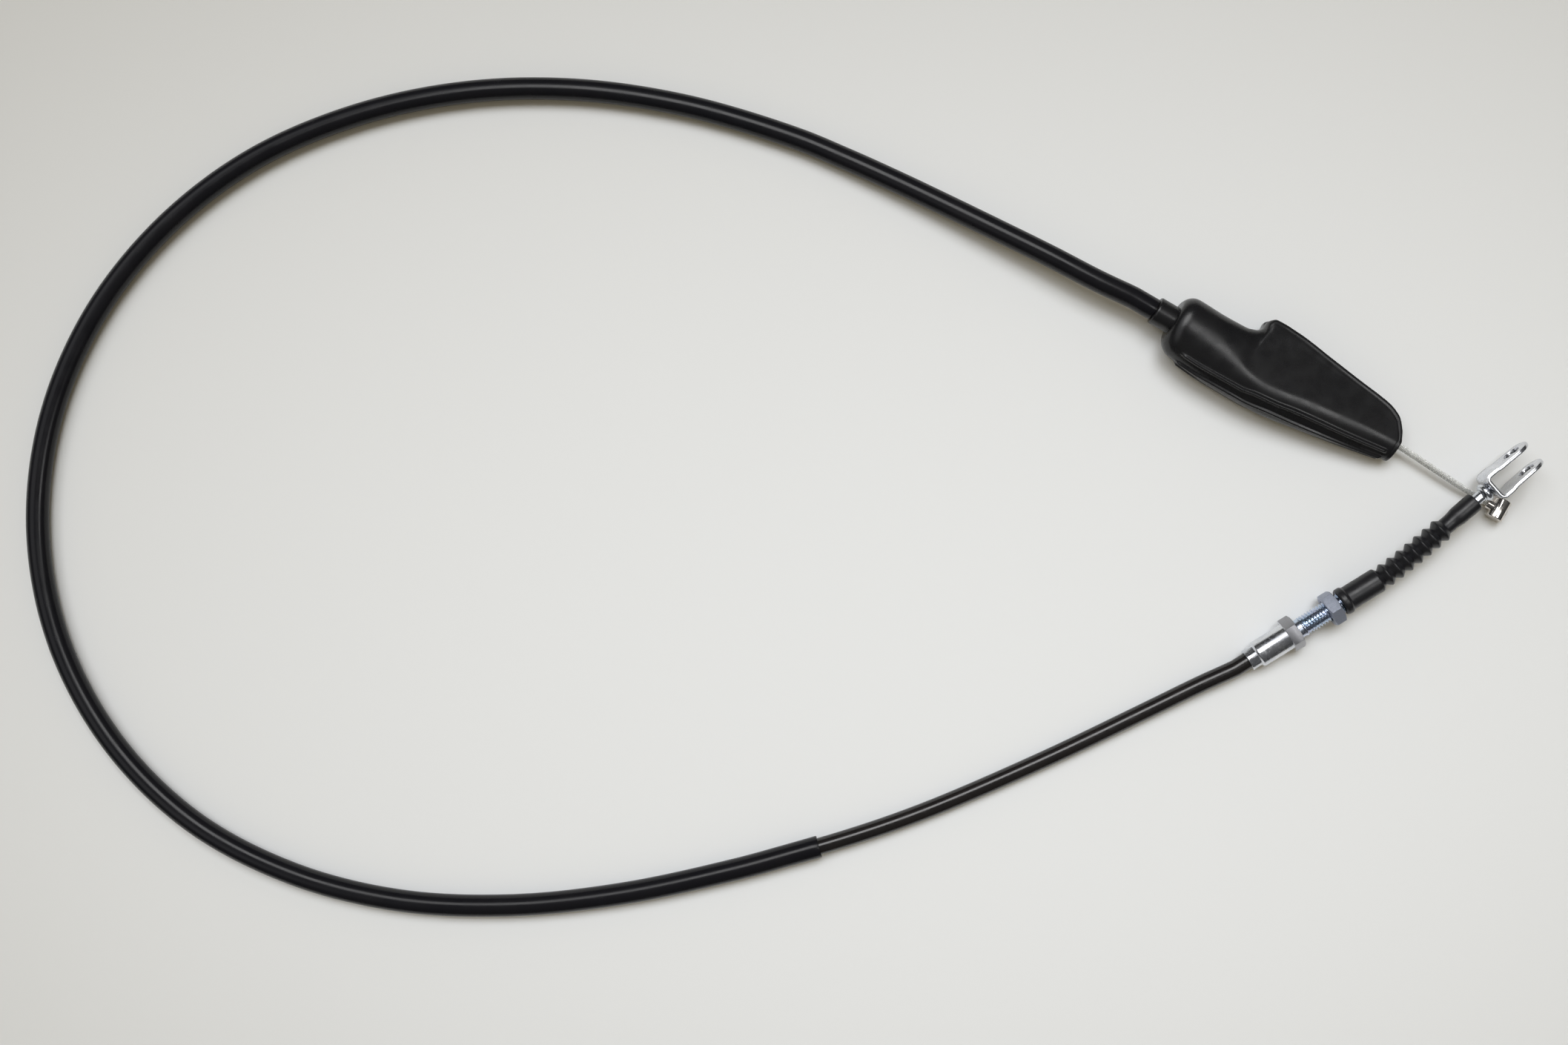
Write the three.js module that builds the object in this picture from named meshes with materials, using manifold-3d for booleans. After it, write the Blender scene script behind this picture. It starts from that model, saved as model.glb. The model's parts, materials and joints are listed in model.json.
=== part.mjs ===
// A drum-brake control cable for a small motorcycle, lying in an open loop on a flat bench.
// One end has a rubber lever boot and a barrel nipple, the other a threaded adjuster, a rubber
// bellows and a swivelling clevis. Millimetres, +Z up, bench top at Z = 0. The origin is under the
// middle of the two cable ends, which lie side by side; the loop runs off towards -X.
import * as THREE from 'three';
import { mergeVertices } from 'three/addons/utils/BufferGeometryUtils.js';
import Module from 'manifold-3d';

const wasm = await Module();
wasm.setup();

// ---------------------------------------------------------------- driving dimensions

const FIT = 0.3;                   // clearance between pieces that touch on the real cable
const LAYER_FIT = 0.22;            // clearance between the nested layers of the conduit
const LATHE_SIDES = 24;

// Inner cable and conduit
const WIRE_RADIUS = 1.2;
const LINER_WALL = 0.3;
const COIL_WALL = 0.54;
const JACKET_RADIUS = 3.25;
const CONDUIT_SIDES = 8;
const SLEEVE_RADIUS = 4.25;
const SLEEVE_SIDES = 12;
const SLEEVE_LENGTH = 916;         // the sleeve's stretch of the free route
const CABLE_TRAVEL = 15;           // how far the lever pulls the inner cable

// Lever end: its axis runs from the boot's collar to the nipple and slopes down to the bench
const LEVER_START = new THREE.Vector3(-70.5, 66.95, 10.3);
const LEVER_YAW = -29.6;
const LEVER_DIP = 2.53;
const NIPPLE_AT = 154.4;           // collar's face to the nipple's middle
const NIPPLE_RADIUS = 3.4;
const NIPPLE_LENGTH = 8.2;
const NIPPLE_NECK_RADIUS = 2.0;
const NIPPLE_NECK_LENGTH = 2.0;
const SOLDER_CUP_RADIUS = 2.3;
const SOLDER_CUP_DEPTH = 1.6;
const WIRE_BOW = 2.1;              // the bare cable bows sideways between the boot and the nipple
const WIRE_BOW_AT = 95;            // collar's face to the top of the bow

// Ferrule on the conduit's lever end
const FERRULE_WALL = 0.6;
const FERRULE_LENGTH = 8.6;
const FERRULE_END_WALL = 1.4;

// Lever boot
const BOOT_WALL = 1.8;
const COLLAR_RADIUS = 5.4;
const COLLAR_LENGTH = 7.7;
const BOOT_END = 107.1;            // collar's face to the boot's mouth
const BOOT_ROUND = 5.2;            // rounding of the bulb's closed end
const BOOT_RIB = 0.7;              // how far the two ribs stand out of the spine

// Adjuster: its axis climbs off the bench towards the clevis
const ADJUSTER_START = new THREE.Vector3(-33.7, -67.67, 5.05);
const ADJUSTER_YAW = 32.5;
const BRAKE_RISE = 3.5;
const CRIMP_RADIUS = 4.4;
const CRIMP_ACROSS_FLATS = 8.3;
const CRIMP_LENGTH = 3.95;
const BARREL_RADIUS = 5.25;
const BARREL_LENGTH = 13.75;
const HEX_ACROSS_FLATS = 12;
const FLANGE_THICKNESS = 4.5;
const CONDUIT_DEPTH = 15.6;        // how far the conduit goes into the barrel
const SCREW_RADIUS = 4;
const SCREW_NECK_RADIUS = 3.7;
const SCREW_NECK_LENGTH = 2.8;
const SCREW_LENGTH = 29;           // flange's face to the screw's free end
const SCREW_BORE_RADIUS = 1.8;
const NUT_AT = 13.3;               // flange's face to the nut's near face
const NUT_THICKNESS = 4.8;
const NUT_TURN = 33;               // how the nut's flats stand against the flange's
const HEX_CHAMFER = 0.6;

// Bellows: distances along its own path from its lip
const BELLOWS_GAP = 1.3;           // nut to lip
const LIP_RADIUS = 5.5;
const LIP_LENGTH = 3.3;
const CUFF_RADIUS = 4.85;
const CUFF_LENGTH = 16.8;          // lip and big cuff together
const CUFF_TO_FOLDS = 1.4;         // big cuff to the first valley
const FOLD_COUNT = 7;
const FOLD_PITCH = 4.38;
const FOLD_CREST = 1;              // flat on top of each fold
const FOLD_PEAK_RADIUS = 4.65;
const FOLD_VALLEY_RADIUS = 3.2;
const BELLOWS_NECK_RADIUS = 3.3;
const BELLOWS_NECK_LENGTH = 3.84;
const BELLOWS_FLARE = 2.6;         // neck to small cuff
const SMALL_CUFF_RADIUS = 3.8;
const SMALL_CUFF_LENGTH = 8.7;
const BELLOWS_WALL = 0.75;
const BELLOWS_SIDES = 16;

// Clevis end: its axis meets the adjuster's where the bellows bends
const BEND_AFTER_CUFF = 7.6;       // big cuff to the bend
const BEND_RUN_OUT = 20;           // bend to where the bellows runs straight again
const STEM_YAW = 41.3;
const STEM_RADIUS = 2.2;
const STEM_SHOWS = 3.4;            // bare stem between the bellows and the ball
const STEM_TAIL = 11;              // stem inside the bellows
const STEM_SOCKET_DEPTH = 8;
const BALL_RADIUS = 3.7;
const BALL_LENGTH = 2.9;
const RIVET_RADIUS = 1.9;          // stem where it passes through the clevis
const RIVET_HEAD_RADIUS = 3.0;
const RIVET_HEAD_HEIGHT = 1.1;
const CLEVIS_SHEET = 1.55;
const CLEVIS_WIDTH = 12;
const CLEVIS_LENGTH = 22.2;
const CLEVIS_ROOT_SPREAD = 11.3;   // over the ears next to the base
const CLEVIS_TIP_SPREAD = 10.3;    // over the ears at their tips
const CLEVIS_BEND_RADIUS = 2.6;
const CLEVIS_JOGGLE_AT = 5.2;      // base to where the ears start to draw in
const CLEVIS_JOGGLE_LENGTH = 3.6;
const CLEVIS_EYE_RADIUS = 3.25;
const CLEVIS_EYE_TO_TIP = 6.8;
const CLEVIS_TIP_ROUND = 5.8;

// The free route of the conduit over the bench, chosen point by point, from the lever end to the adjuster
const ROUTE = [
  [-92.1, 77.9, 10.7], [-110.6, 87.7, 9.8], [-129.6, 97.4, 8.3], [-149, 107.2, 6.7], [-168.6, 116.8, 5.5],
  [-188.6, 126, 4.6], [-208.9, 134.4, 4.18], [-250.7, 146.7, 4.18], [-293.6, 152.8, 4.18], [-336.6, 151.6, 4.18],
  [-379, 142.4, 4.18], [-418.9, 124.9, 4.18], [-453, 98.3, 4.18], [-479.3, 64.5, 4.18], [-495.8, 24.7, 4.18],
  [-500.4, -17.9, 4.18], [-492.4, -60.1, 4.18], [-472, -98.5, 4.18], [-441.3, -129.3, 4.18], [-403.3, -149.5, 4.18],
  [-361.7, -160.2, 4.18], [-317.9, -162.2, 4.18], [-274.2, -157.6, 4.18], [-231.6, -148.5, 4.18], [-210.6, -142.8, 4.18],
  [-189.9, -136.8, 4.12], [-169.4, -130.1, 3.6], [-149.2, -122.4, 3.14], [-109.6, -105, 3.14], [-70.6, -86.2, 3.36],
  [-51.4, -76.7, 4.12],
].map((at) => new THREE.Vector3(...at));
const SLEEVED_STEPS = 44;
const BARE_STEPS = 10;
const BOW_STEPS = 7;
const LEVER_STRAIGHT = 10;         // straight conduit outside the boot's collar
const ADJUSTER_STRAIGHT = 6;       // straight conduit outside the crimp

// ---------------------------------------------------------------- finishes

const finish = (color, roughness, metalness) => new THREE.MeshStandardMaterial({ color, roughness, metalness });
const MATT_RUBBER = finish(0x1b1b1d, 0.62, 0);
const SLEEVE_VINYL = finish(0x1a1a20, 0.28, 0);
const JACKET_PLASTIC = finish(0x1c1a19, 0.4, 0);
const LINER_PLASTIC = finish(0xd8d8d2, 0.5, 0);
const WINDING_STEEL = finish(0x8d9094, 0.4, 0.9);
const STRAND_STEEL = finish(0xa9aba8, 0.38, 0.9);
const BRIGHT_ZINC = finish(0xc9ccd0, 0.28, 0.95);
const BLUE_ZINC = finish(0xaebfd2, 0.3, 0.95);
const NICKEL = finish(0xc2bdb6, 0.14, 1);
const SOLDER = finish(0xb9b7b2, 0.35, 0.9);

// ---------------------------------------------------------------- shared shapes

/** A closed solid from a geometry, with its doubled corners joined and its empty triangles dropped. */
function toSolid(geometry) {
  const bare = geometry.index ? geometry.toNonIndexed() : geometry.clone();
  bare.deleteAttribute('normal');
  bare.deleteAttribute('uv');
  const merged = mergeVertices(bare, 1e-4);
  const corners = merged.index.array;
  const kept = [];
  for (let i = 0; i < corners.length; i += 3) {
    const [a, b, c] = corners.slice(i, i + 3);
    if (a !== b && b !== c && c !== a) kept.push(a, b, c);
  }
  const mesh = new wasm.Mesh({
    numProp: 3,
    vertProperties: new Float32Array(merged.attributes.position.array),
    triVerts: Uint32Array.from(kept),
  });
  return new wasm.Manifold(mesh);
}

/** The geometry of a solid. */
function toGeometry(solid) {
  const mesh = solid.getMesh();
  const geometry = new THREE.BufferGeometry();
  geometry.setAttribute('position', new THREE.BufferAttribute(new Float32Array(mesh.vertProperties), 3));
  geometry.setIndex(new THREE.BufferAttribute(new Uint32Array(mesh.triVerts), 1));
  const shaded = geometry.toNonIndexed();
  shaded.computeVertexNormals();
  return shaded;
}

/** A solid of revolution about +X from a closed list of [distance along X, radius] corners. */
function turned(corners, sides = LATHE_SIDES) {
  const profile = [...corners, corners[0]].map(([along, radius]) => new THREE.Vector2(radius, along));
  const area = THREE.ShapeUtils.area(profile);
  const ordered = area > 0 ? profile : profile.reverse();
  return new THREE.LatheGeometry(ordered, sides).rotateZ(-Math.PI / 2);
}

/** A round bar along +X from start to end. */
const bar = (start, end, radius, sides = LATHE_SIDES) => (
  new THREE.CylinderGeometry(radius, radius, end - start, sides).rotateZ(-Math.PI / 2).translate((start + end) / 2, 0, 0)
);

/** A hexagonal bar along +X, with flats up and down, chamfered round its corners at the ends asked for. */
function hexBar(start, end, acrossFlats, chamferStart, chamferEnd) {
  const cornerRadius = acrossFlats / Math.sqrt(3);
  const faceRadius = acrossFlats / 2 - 0.1;
  const prism = new THREE.CylinderGeometry(cornerRadius, cornerRadius, end - start, 6)
    .rotateY(Math.PI / 6).rotateZ(-Math.PI / 2).translate((start + end) / 2, 0, 0);
  const cut = (wanted) => (wanted ? faceRadius : cornerRadius + 0.1);
  const cone = turned([
    [start, 0], [start, cut(chamferStart)], [start + HEX_CHAMFER, cornerRadius + 0.1],
    [end - HEX_CHAMFER, cornerRadius + 0.1], [end, cut(chamferEnd)], [end, 0],
  ], 36);
  return toSolid(prism).intersect(toSolid(cone));
}

/** A skin through rings of points. A closed one joins its last ring to its first, others get end caps. */
function skin(rings, closed) {
  const count = rings[0].length;
  const points = rings.flat();
  const faces = [];
  const bands = closed ? rings.length : rings.length - 1;
  for (let band = 0; band < bands; band += 1) {
    const here = band * count;
    const next = ((band + 1) % rings.length) * count;
    for (let i = 0; i < count; i += 1) {
      const j = (i + 1) % count;
      faces.push(here + i, here + j, next + j, here + i, next + j, next + i);
    }
  }
  if (!closed) {
    const middle = (ring) => ring.reduce((sum, at) => sum.add(at), new THREE.Vector3()).divideScalar(ring.length);
    const last = (rings.length - 1) * count;
    const first = points.push(middle(rings[0])) - 1;
    const final = points.push(middle(rings[rings.length - 1])) - 1;
    for (let i = 0; i < count; i += 1) {
      const j = (i + 1) % count;
      faces.push(first, j, i, final, last + i, last + j);
    }
  }
  const geometry = new THREE.BufferGeometry().setFromPoints(points);
  geometry.setIndex(faces);
  geometry.computeVertexNormals();
  return geometry;
}

/** A path through fixed stations whose sections stay upright, so that nested tubes line up. */
class StationPath extends THREE.Curve {
  constructor(stations) {
    super();
    this.stations = stations;
  }

  getPoint(t) {
    const at = t * (this.stations.length - 1);
    const i = Math.min(Math.floor(at), this.stations.length - 2);
    return this.stations[i].clone().lerp(this.stations[i + 1], at - i);
  }

  getSpacedPoints() {
    return this.stations.map((station) => station.clone());
  }

  computeFrenetFrames() {
    const last = this.stations.length - 1;
    const up = new THREE.Vector3(0, 0, 1);
    const tangents = this.stations.map((_, i) => {
      const before = this.stations[Math.max(i - 1, 0)];
      const after = this.stations[Math.min(i + 1, last)];
      return after.clone().sub(before).normalize();
    });
    const normals = tangents.map((tangent) => new THREE.Vector3().crossVectors(up, tangent).normalize());
    const binormals = tangents.map((tangent, i) => new THREE.Vector3().crossVectors(tangent, normals[i]));
    return { tangents, normals, binormals };
  }
}

/** A regular outline with a flat side down, as a path or a shape. */
function polygon(radius, sides, Kind) {
  const outline = new Kind();
  for (let i = 0; i < sides; i += 1) {
    const angle = ((i + 0.5) / sides) * 2 * Math.PI;
    const place = [-radius * Math.sin(angle), radius * Math.cos(angle)];
    if (i === 0) outline.moveTo(...place);
    else outline.lineTo(...place);
  }
  outline.closePath();
  return outline;
}

/** A tube or, with no bore, a rod through the stations. */
function tube(stations, radius, boreRadius, sides) {
  const section = polygon(radius, sides, THREE.Shape);
  if (boreRadius > 0) section.holes.push(polygon(boreRadius, sides, THREE.Path));
  return new THREE.ExtrudeGeometry(section, {
    steps: stations.length - 1, extrudePath: new StationPath(stations), bevelEnabled: false,
  });
}

// ---------------------------------------------------------------- places and axes

/** A group whose +X runs along an axis given by its yaw and its rise, in degrees. */
function axisGroup(origin, yaw, rise) {
  const group = new THREE.Group();
  group.position.copy(origin);
  group.rotation.order = 'ZYX';
  group.rotation.z = THREE.MathUtils.degToRad(yaw);
  group.rotation.y = -THREE.MathUtils.degToRad(rise);
  group.updateMatrixWorld(true);
  return group;
}

/** A point at a distance along a group's axis. */
const along = (group, distance) => group.localToWorld(new THREE.Vector3(distance, 0, 0));

const leverEnd = axisGroup(LEVER_START, LEVER_YAW, -LEVER_DIP);
const adjusterEnd = axisGroup(ADJUSTER_START, ADJUSTER_YAW, BRAKE_RISE);

const HEX_AT = CRIMP_LENGTH + BARREL_LENGTH;
const FLANGE_FACE_AT = HEX_AT + FLANGE_THICKNESS;
const NUT_START = FLANGE_FACE_AT + NUT_AT;
const LIP_AT = NUT_START + NUT_THICKNESS + BELLOWS_GAP;
const SCREW_END = FLANGE_FACE_AT + SCREW_LENGTH;
const CUFF_END_AT = LIP_AT + CUFF_LENGTH;
const FOLDS_START = CUFF_LENGTH + CUFF_TO_FOLDS;
const FOLDS_END = FOLDS_START + FOLD_COUNT * FOLD_PITCH;
const SMALL_CUFF_START = FOLDS_END + BELLOWS_NECK_LENGTH + BELLOWS_FLARE;
const BELLOWS_LENGTH = SMALL_CUFF_START + SMALL_CUFF_LENGTH;

// The clevis end's group starts where the stem leaves the bellows.
const bend = along(adjusterEnd, CUFF_END_AT + BEND_AFTER_CUFF);
const stemDirection = along(axisGroup(new THREE.Vector3(), STEM_YAW, BRAKE_RISE), 1);
const bendToStem = BELLOWS_LENGTH - CUFF_LENGTH - BEND_AFTER_CUFF;
const clevisEnd = axisGroup(bend.clone().addScaledVector(stemDirection, bendToStem), STEM_YAW, BRAKE_RISE);

// ---------------------------------------------------------------- conduit and inner cable

const LINER_BORE = WIRE_RADIUS + LAYER_FIT;
const LINER_RADIUS = LINER_BORE + LINER_WALL;
const COIL_BORE = LINER_RADIUS + LAYER_FIT;
const COIL_RADIUS = COIL_BORE + COIL_WALL;
const JACKET_BORE = COIL_RADIUS + LAYER_FIT;

const FERRULE_START = COLLAR_LENGTH + BOOT_WALL + FIT;
const CONDUIT_START = FERRULE_START + FERRULE_LENGTH - FERRULE_END_WALL - FIT;
const TAIL_START = CONDUIT_START - CABLE_TRAVEL - 8;

/** Evenly spaced stations on a curve between two distances along it. */
function spaced(curve, from, to, steps) {
  const total = curve.getLength();
  return Array.from({ length: steps + 1 }, (_, i) => curve.getPointAt((from + (to - from) * (i / steps)) / total));
}

const freeRoute = new THREE.CatmullRomCurve3(
  [along(leverEnd, -LEVER_STRAIGHT), ...ROUTE, along(adjusterEnd, -ADJUSTER_STRAIGHT)], false, 'centripetal',
);
freeRoute.arcLengthDivisions = 2000;
const sleeved = spaced(freeRoute, 0, SLEEVE_LENGTH, SLEEVED_STEPS);
const bare = spaced(freeRoute, SLEEVE_LENGTH, freeRoute.getLength(), BARE_STEPS);
const sleeveStations = [along(leverEnd, -FIT), ...sleeved];
const conduitStations = [
  along(leverEnd, CONDUIT_START), ...sleeveStations, ...bare.slice(1),
  along(adjusterEnd, 0), along(adjusterEnd, CONDUIT_DEPTH),
];

// The bend inside the bellows, from the end of its big cuff to its last folds.
const bendCurve = new THREE.QuadraticBezierCurve3(
  along(adjusterEnd, CUFF_END_AT), bend, bend.clone().addScaledVector(stemDirection, BEND_RUN_OUT),
);
const wireStations = [
  along(leverEnd, TAIL_START - FIT), ...sleeved, ...bare.slice(1),
  along(adjusterEnd, 0), along(adjusterEnd, CONDUIT_DEPTH), along(adjusterEnd, SCREW_END),
  ...bendCurve.getPoints(4), along(clevisEnd, STEM_SOCKET_DEPTH - STEM_TAIL - FIT),
];

const outerSleeve = tube(sleeveStations, SLEEVE_RADIUS, JACKET_RADIUS + FIT, SLEEVE_SIDES);
const conduitJacket = tube(conduitStations, JACKET_RADIUS, JACKET_BORE, CONDUIT_SIDES);
const conduitCoil = tube(conduitStations, COIL_RADIUS, COIL_BORE, CONDUIT_SIDES);
const conduitLiner = tube(conduitStations, LINER_RADIUS, LINER_BORE, CONDUIT_SIDES);
const innerWire = tube(wireStations, WIRE_RADIUS, 0, CONDUIT_SIDES);

// ---------------------------------------------------------------- lever end

/** The bare cable at the lever end: straight where it slides in the conduit, then in a slight bow. */
function makeLeverWire() {
  const straightTo = FERRULE_START + FERRULE_LENGTH + CABLE_TRAVEL;
  const bowTo = NIPPLE_AT - NIPPLE_RADIUS - NIPPLE_NECK_LENGTH;
  const stations = [new THREE.Vector3(TAIL_START, 0, 0)];
  for (let i = 0; i <= BOW_STEPS; i += 1) {
    const rising = THREE.MathUtils.lerp(straightTo, WIRE_BOW_AT, i / BOW_STEPS);
    stations.push(new THREE.Vector3(rising, WIRE_BOW * (1 - Math.cos((Math.PI * i) / BOW_STEPS)) / 2, 0));
  }
  for (let i = 1; i <= BOW_STEPS; i += 1) {
    const falling = THREE.MathUtils.lerp(WIRE_BOW_AT, bowTo, i / BOW_STEPS);
    stations.push(new THREE.Vector3(falling, WIRE_BOW * (1 + Math.cos((Math.PI * i) / BOW_STEPS)) / 2, 0));
  }
  stations.push(new THREE.Vector3(NIPPLE_AT + NIPPLE_RADIUS - SOLDER_CUP_DEPTH, 0, 0));
  return tube(stations, WIRE_RADIUS, 0, CONDUIT_SIDES);
}

/** The cap crimped on the conduit's lever end, inside the boot. */
function makeLeverFerrule() {
  const bore = JACKET_RADIUS + FIT;
  const outer = bore + FERRULE_WALL;
  const end = FERRULE_START + FERRULE_LENGTH;
  const hole = WIRE_RADIUS + FIT;
  return turned([
    [FERRULE_START, bore], [FERRULE_START, outer + 0.5], [FERRULE_START + 1, outer + 0.5],
    [FERRULE_START + 1, outer], [end - 0.5, outer], [end, outer - 0.5], [end, hole],
    [end - FERRULE_END_WALL, hole], [end - FERRULE_END_WALL, bore],
  ]);
}

/** The barrel nipple: a short cylinder across the cable, with a neck and a solder cup. */
function makeNipple() {
  const barrel = new THREE.CylinderGeometry(NIPPLE_RADIUS, NIPPLE_RADIUS, NIPPLE_LENGTH, LATHE_SIDES)
    .translate(NIPPLE_AT, 0, 0);
  const neck = bar(NIPPLE_AT - NIPPLE_RADIUS - NIPPLE_NECK_LENGTH, NIPPLE_AT, NIPPLE_NECK_RADIUS);
  const back = NIPPLE_AT + NIPPLE_RADIUS;
  const bore = bar(NIPPLE_AT - 2 * NIPPLE_RADIUS, back + 1, WIRE_RADIUS + FIT);
  const cup = turned([
    [back - SOLDER_CUP_DEPTH, 0], [back - SOLDER_CUP_DEPTH, WIRE_RADIUS + FIT],
    [back + 0.1, SOLDER_CUP_RADIUS + FIT], [back + 0.1, 0],
  ]);
  return toGeometry(toSolid(barrel).add(toSolid(neck)).subtract(toSolid(bore)).subtract(toSolid(cup)));
}

/** The solder that fills the nipple's cup and holds the cable's end. */
function makeSolder() {
  const back = NIPPLE_AT + NIPPLE_RADIUS;
  return turned([
    [back - SOLDER_CUP_DEPTH + FIT, 0], [back - SOLDER_CUP_DEPTH + FIT, WIRE_RADIUS],
    [back - 0.5, SOLDER_CUP_RADIUS - 0.35], [back - 0.1, SOLDER_CUP_RADIUS * 0.55], [back, 0],
  ], 16);
}

// The boot is lofted through stations along the lever axis. Each gives the place X, the outline's
// top and bottom Y, the half thickness Z at the ridge and at the top edge, and the ridge's Y.
const BOOT_STATIONS = [
  { x: COLLAR_LENGTH, top: 11.4, bottom: -11.2, half: 9.7, edge: 9.7, ridge: -2 },
  { x: 13, top: 11.6, bottom: -12.7, half: 9.5, edge: 9.4, ridge: -2 },
  { x: 24, top: 11.3, bottom: -14.2, half: 9.1, edge: 8.7, ridge: -2.5 },
  { x: 33, top: 11.4, bottom: -14.9, half: 8.7, edge: 7.9, ridge: -3.2 },
  { x: 37.5, top: 12.6, bottom: -15.0, half: 8.5, edge: 7.2, ridge: -3.6 },
  { x: 39.6, top: 14.6, bottom: -15.0, half: 8.4, edge: 6.8, ridge: -3.8 },
  { x: 40.6, top: 17.4, bottom: -15.0, half: 8.4, edge: 6.5, ridge: -3.9 },
  { x: 43, top: 19.4, bottom: -15.0, half: 8.3, edge: 6.2, ridge: -4 },
  { x: 53, top: 18.9, bottom: -14.8, half: 7.9, edge: 5.9, ridge: -3.4 },
  { x: 67, top: 17.1, bottom: -13.0, half: 7.3, edge: 5.6, ridge: -2.1 },
  { x: 81, top: 15.3, bottom: -10.6, half: 6.7, edge: 5.3, ridge: -0.7 },
  { x: 95, top: 13.5, bottom: -7.8, half: 6.0, edge: 5.0, ridge: 0.8 },
  { x: 101, top: 11.2, bottom: -6.6, half: 5.7, edge: 4.9, ridge: 1.6 },
  { x: 105, top: 6.8, bottom: -6.0, half: 5.5, edge: 4.9, ridge: 1.9 },
  { x: BOOT_END, top: 2.6, bottom: -5.6, half: 5.4, edge: 5.2, ridge: 0.6 },
];
const MOUTH_FROM = 40;             // the boot is open along its top edge from here on
const TOP_ARC_POINTS = 4;
const SPINE_POINTS = 9;

/** One closed section of the boot, drawn in by an inset; past the mouth an inset one has no top. */
function bootSection(station, inset) {
  const inside = inset > 0;
  const open = station.x > MOUTH_FROM;
  const closedEnd = THREE.MathUtils.clamp((BOOT_STATIONS[0].x + BOOT_ROUND - station.x) / BOOT_ROUND, 0, 1);
  const swell = 0.62 + 0.38 * Math.sqrt(1 - closedEnd ** 2);
  const half = station.half * swell - inset;
  const edge = station.edge * swell - inset;
  const top = open && inside ? station.top + 4 : station.top * swell - inset;
  const bottom = station.bottom * swell + inset;
  const corner = open ? 0.9 : Math.min(5, edge * 0.7);
  const ridge = Math.min(station.ridge, top - corner - 0.5);
  const side = [new THREE.Vector2(top, 0)];
  for (let i = 0; i <= TOP_ARC_POINTS; i += 1) {
    const angle = (i / TOP_ARC_POINTS) * (Math.PI / 2);
    side.push(new THREE.Vector2(top - corner * (1 - Math.cos(angle)), edge - corner * (1 - Math.sin(angle))));
  }
  side.push(new THREE.Vector2((top - corner + ridge) / 2, edge + (half - edge) * 0.35));
  for (let i = 0; i < SPINE_POINTS; i += 1) {
    const angle = (i / (SPINE_POINTS - 1)) * (Math.PI / 2);
    const rib = !inside && (i === 4 || i === 6) ? BOOT_RIB * swell : 0;
    const across = Math.sin(angle) ** 0.9;
    const up = Math.cos(angle) ** 0.9;
    side.push(new THREE.Vector2(ridge + (bottom - ridge) * across - rib * across, half * up + rib * up));
  }
  const far = side.slice(1, -1).reverse().map((at) => new THREE.Vector2(at.x, -at.y));
  return [...side, ...far].map((at) => new THREE.Vector3(station.x, at.x, at.y));
}

/** The boot's stations with the rounded end filled in by a few extra ones. */
function bootRings(inset) {
  const first = BOOT_STATIONS[0];
  const rounded = [0, 0.12, 0.3, 0.55].map((share) => ({ ...first, x: first.x + BOOT_ROUND * share }));
  const inside = inset > 0;
  const shifted = inside
    ? rounded.map((station) => ({ ...station, x: station.x + inset }))
    : rounded;
  const rings = [...shifted, ...BOOT_STATIONS.slice(1)].map((station) => {
    const shaped = inside && station.x < first.x + BOOT_ROUND + inset ? { ...station, x: station.x - inset } : station;
    return bootSection(shaped, inset).map((at) => at.setX(station.x));
  });
  if (inside) rings.push(rings[rings.length - 1].map((at) => at.clone().setX(BOOT_END + 3)));
  return rings;
}

/** The lever boot: a hollow rubber hood with a collar for the conduit and a long open mouth. */
function makeLeverBoot() {
  const collar = turned([
    [0, 0], [0, COLLAR_RADIUS - 0.5], [0.5, COLLAR_RADIUS], [COLLAR_LENGTH + 2, COLLAR_RADIUS], [COLLAR_LENGTH + 2, 0],
  ]);
  const body = toSolid(skin(bootRings(0), false));
  const cavity = toSolid(skin(bootRings(BOOT_WALL), false));
  const bore = toSolid(bar(-1, COLLAR_LENGTH + 4, JACKET_RADIUS + FIT));
  return toGeometry(body.add(toSolid(collar)).subtract(cavity).subtract(bore));
}

// ---------------------------------------------------------------- adjuster

/** The crimped barrel with its hexagonal flange, in one piece. */
function makeAdjusterBarrel() {
  const conduitBore = JACKET_RADIUS + FIT;
  const screwBore = SCREW_NECK_RADIUS + FIT;
  const body = toSolid(turned([
    [CRIMP_LENGTH, 0], [CRIMP_LENGTH, BARREL_RADIUS - 0.4], [CRIMP_LENGTH + 0.4, BARREL_RADIUS],
    [HEX_AT + 0.5, BARREL_RADIUS], [HEX_AT + 0.5, 0],
  ]));
  const crimp = toSolid(bar(0, CRIMP_LENGTH + 0.5, CRIMP_RADIUS))
    .intersect(hexBar(-0.1, CRIMP_LENGTH + 1, CRIMP_ACROSS_FLATS, false, false));
  const flange = hexBar(HEX_AT, FLANGE_FACE_AT, HEX_ACROSS_FLATS, false, true);
  const bore = toSolid(turned([
    [-1, 0], [-1, conduitBore], [CONDUIT_DEPTH + FIT, conduitBore], [CONDUIT_DEPTH + FIT, screwBore],
    [FLANGE_FACE_AT + 1, screwBore], [FLANGE_FACE_AT + 1, 0],
  ]));
  return toGeometry(body.add(crimp).add(flange).subtract(bore));
}

/** The hollow adjusting screw, plain here where its thread runs. */
function makeAdjusterScrew() {
  const start = CONDUIT_DEPTH + 2 * FIT;
  const thread = FLANGE_FACE_AT + SCREW_NECK_LENGTH;
  return turned([
    [start, SCREW_BORE_RADIUS], [start, SCREW_NECK_RADIUS], [thread, SCREW_NECK_RADIUS], [thread + 0.3, SCREW_RADIUS],
    [SCREW_END - 0.6, SCREW_RADIUS], [SCREW_END, SCREW_RADIUS - 0.6], [SCREW_END, SCREW_BORE_RADIUS],
  ]);
}

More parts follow.
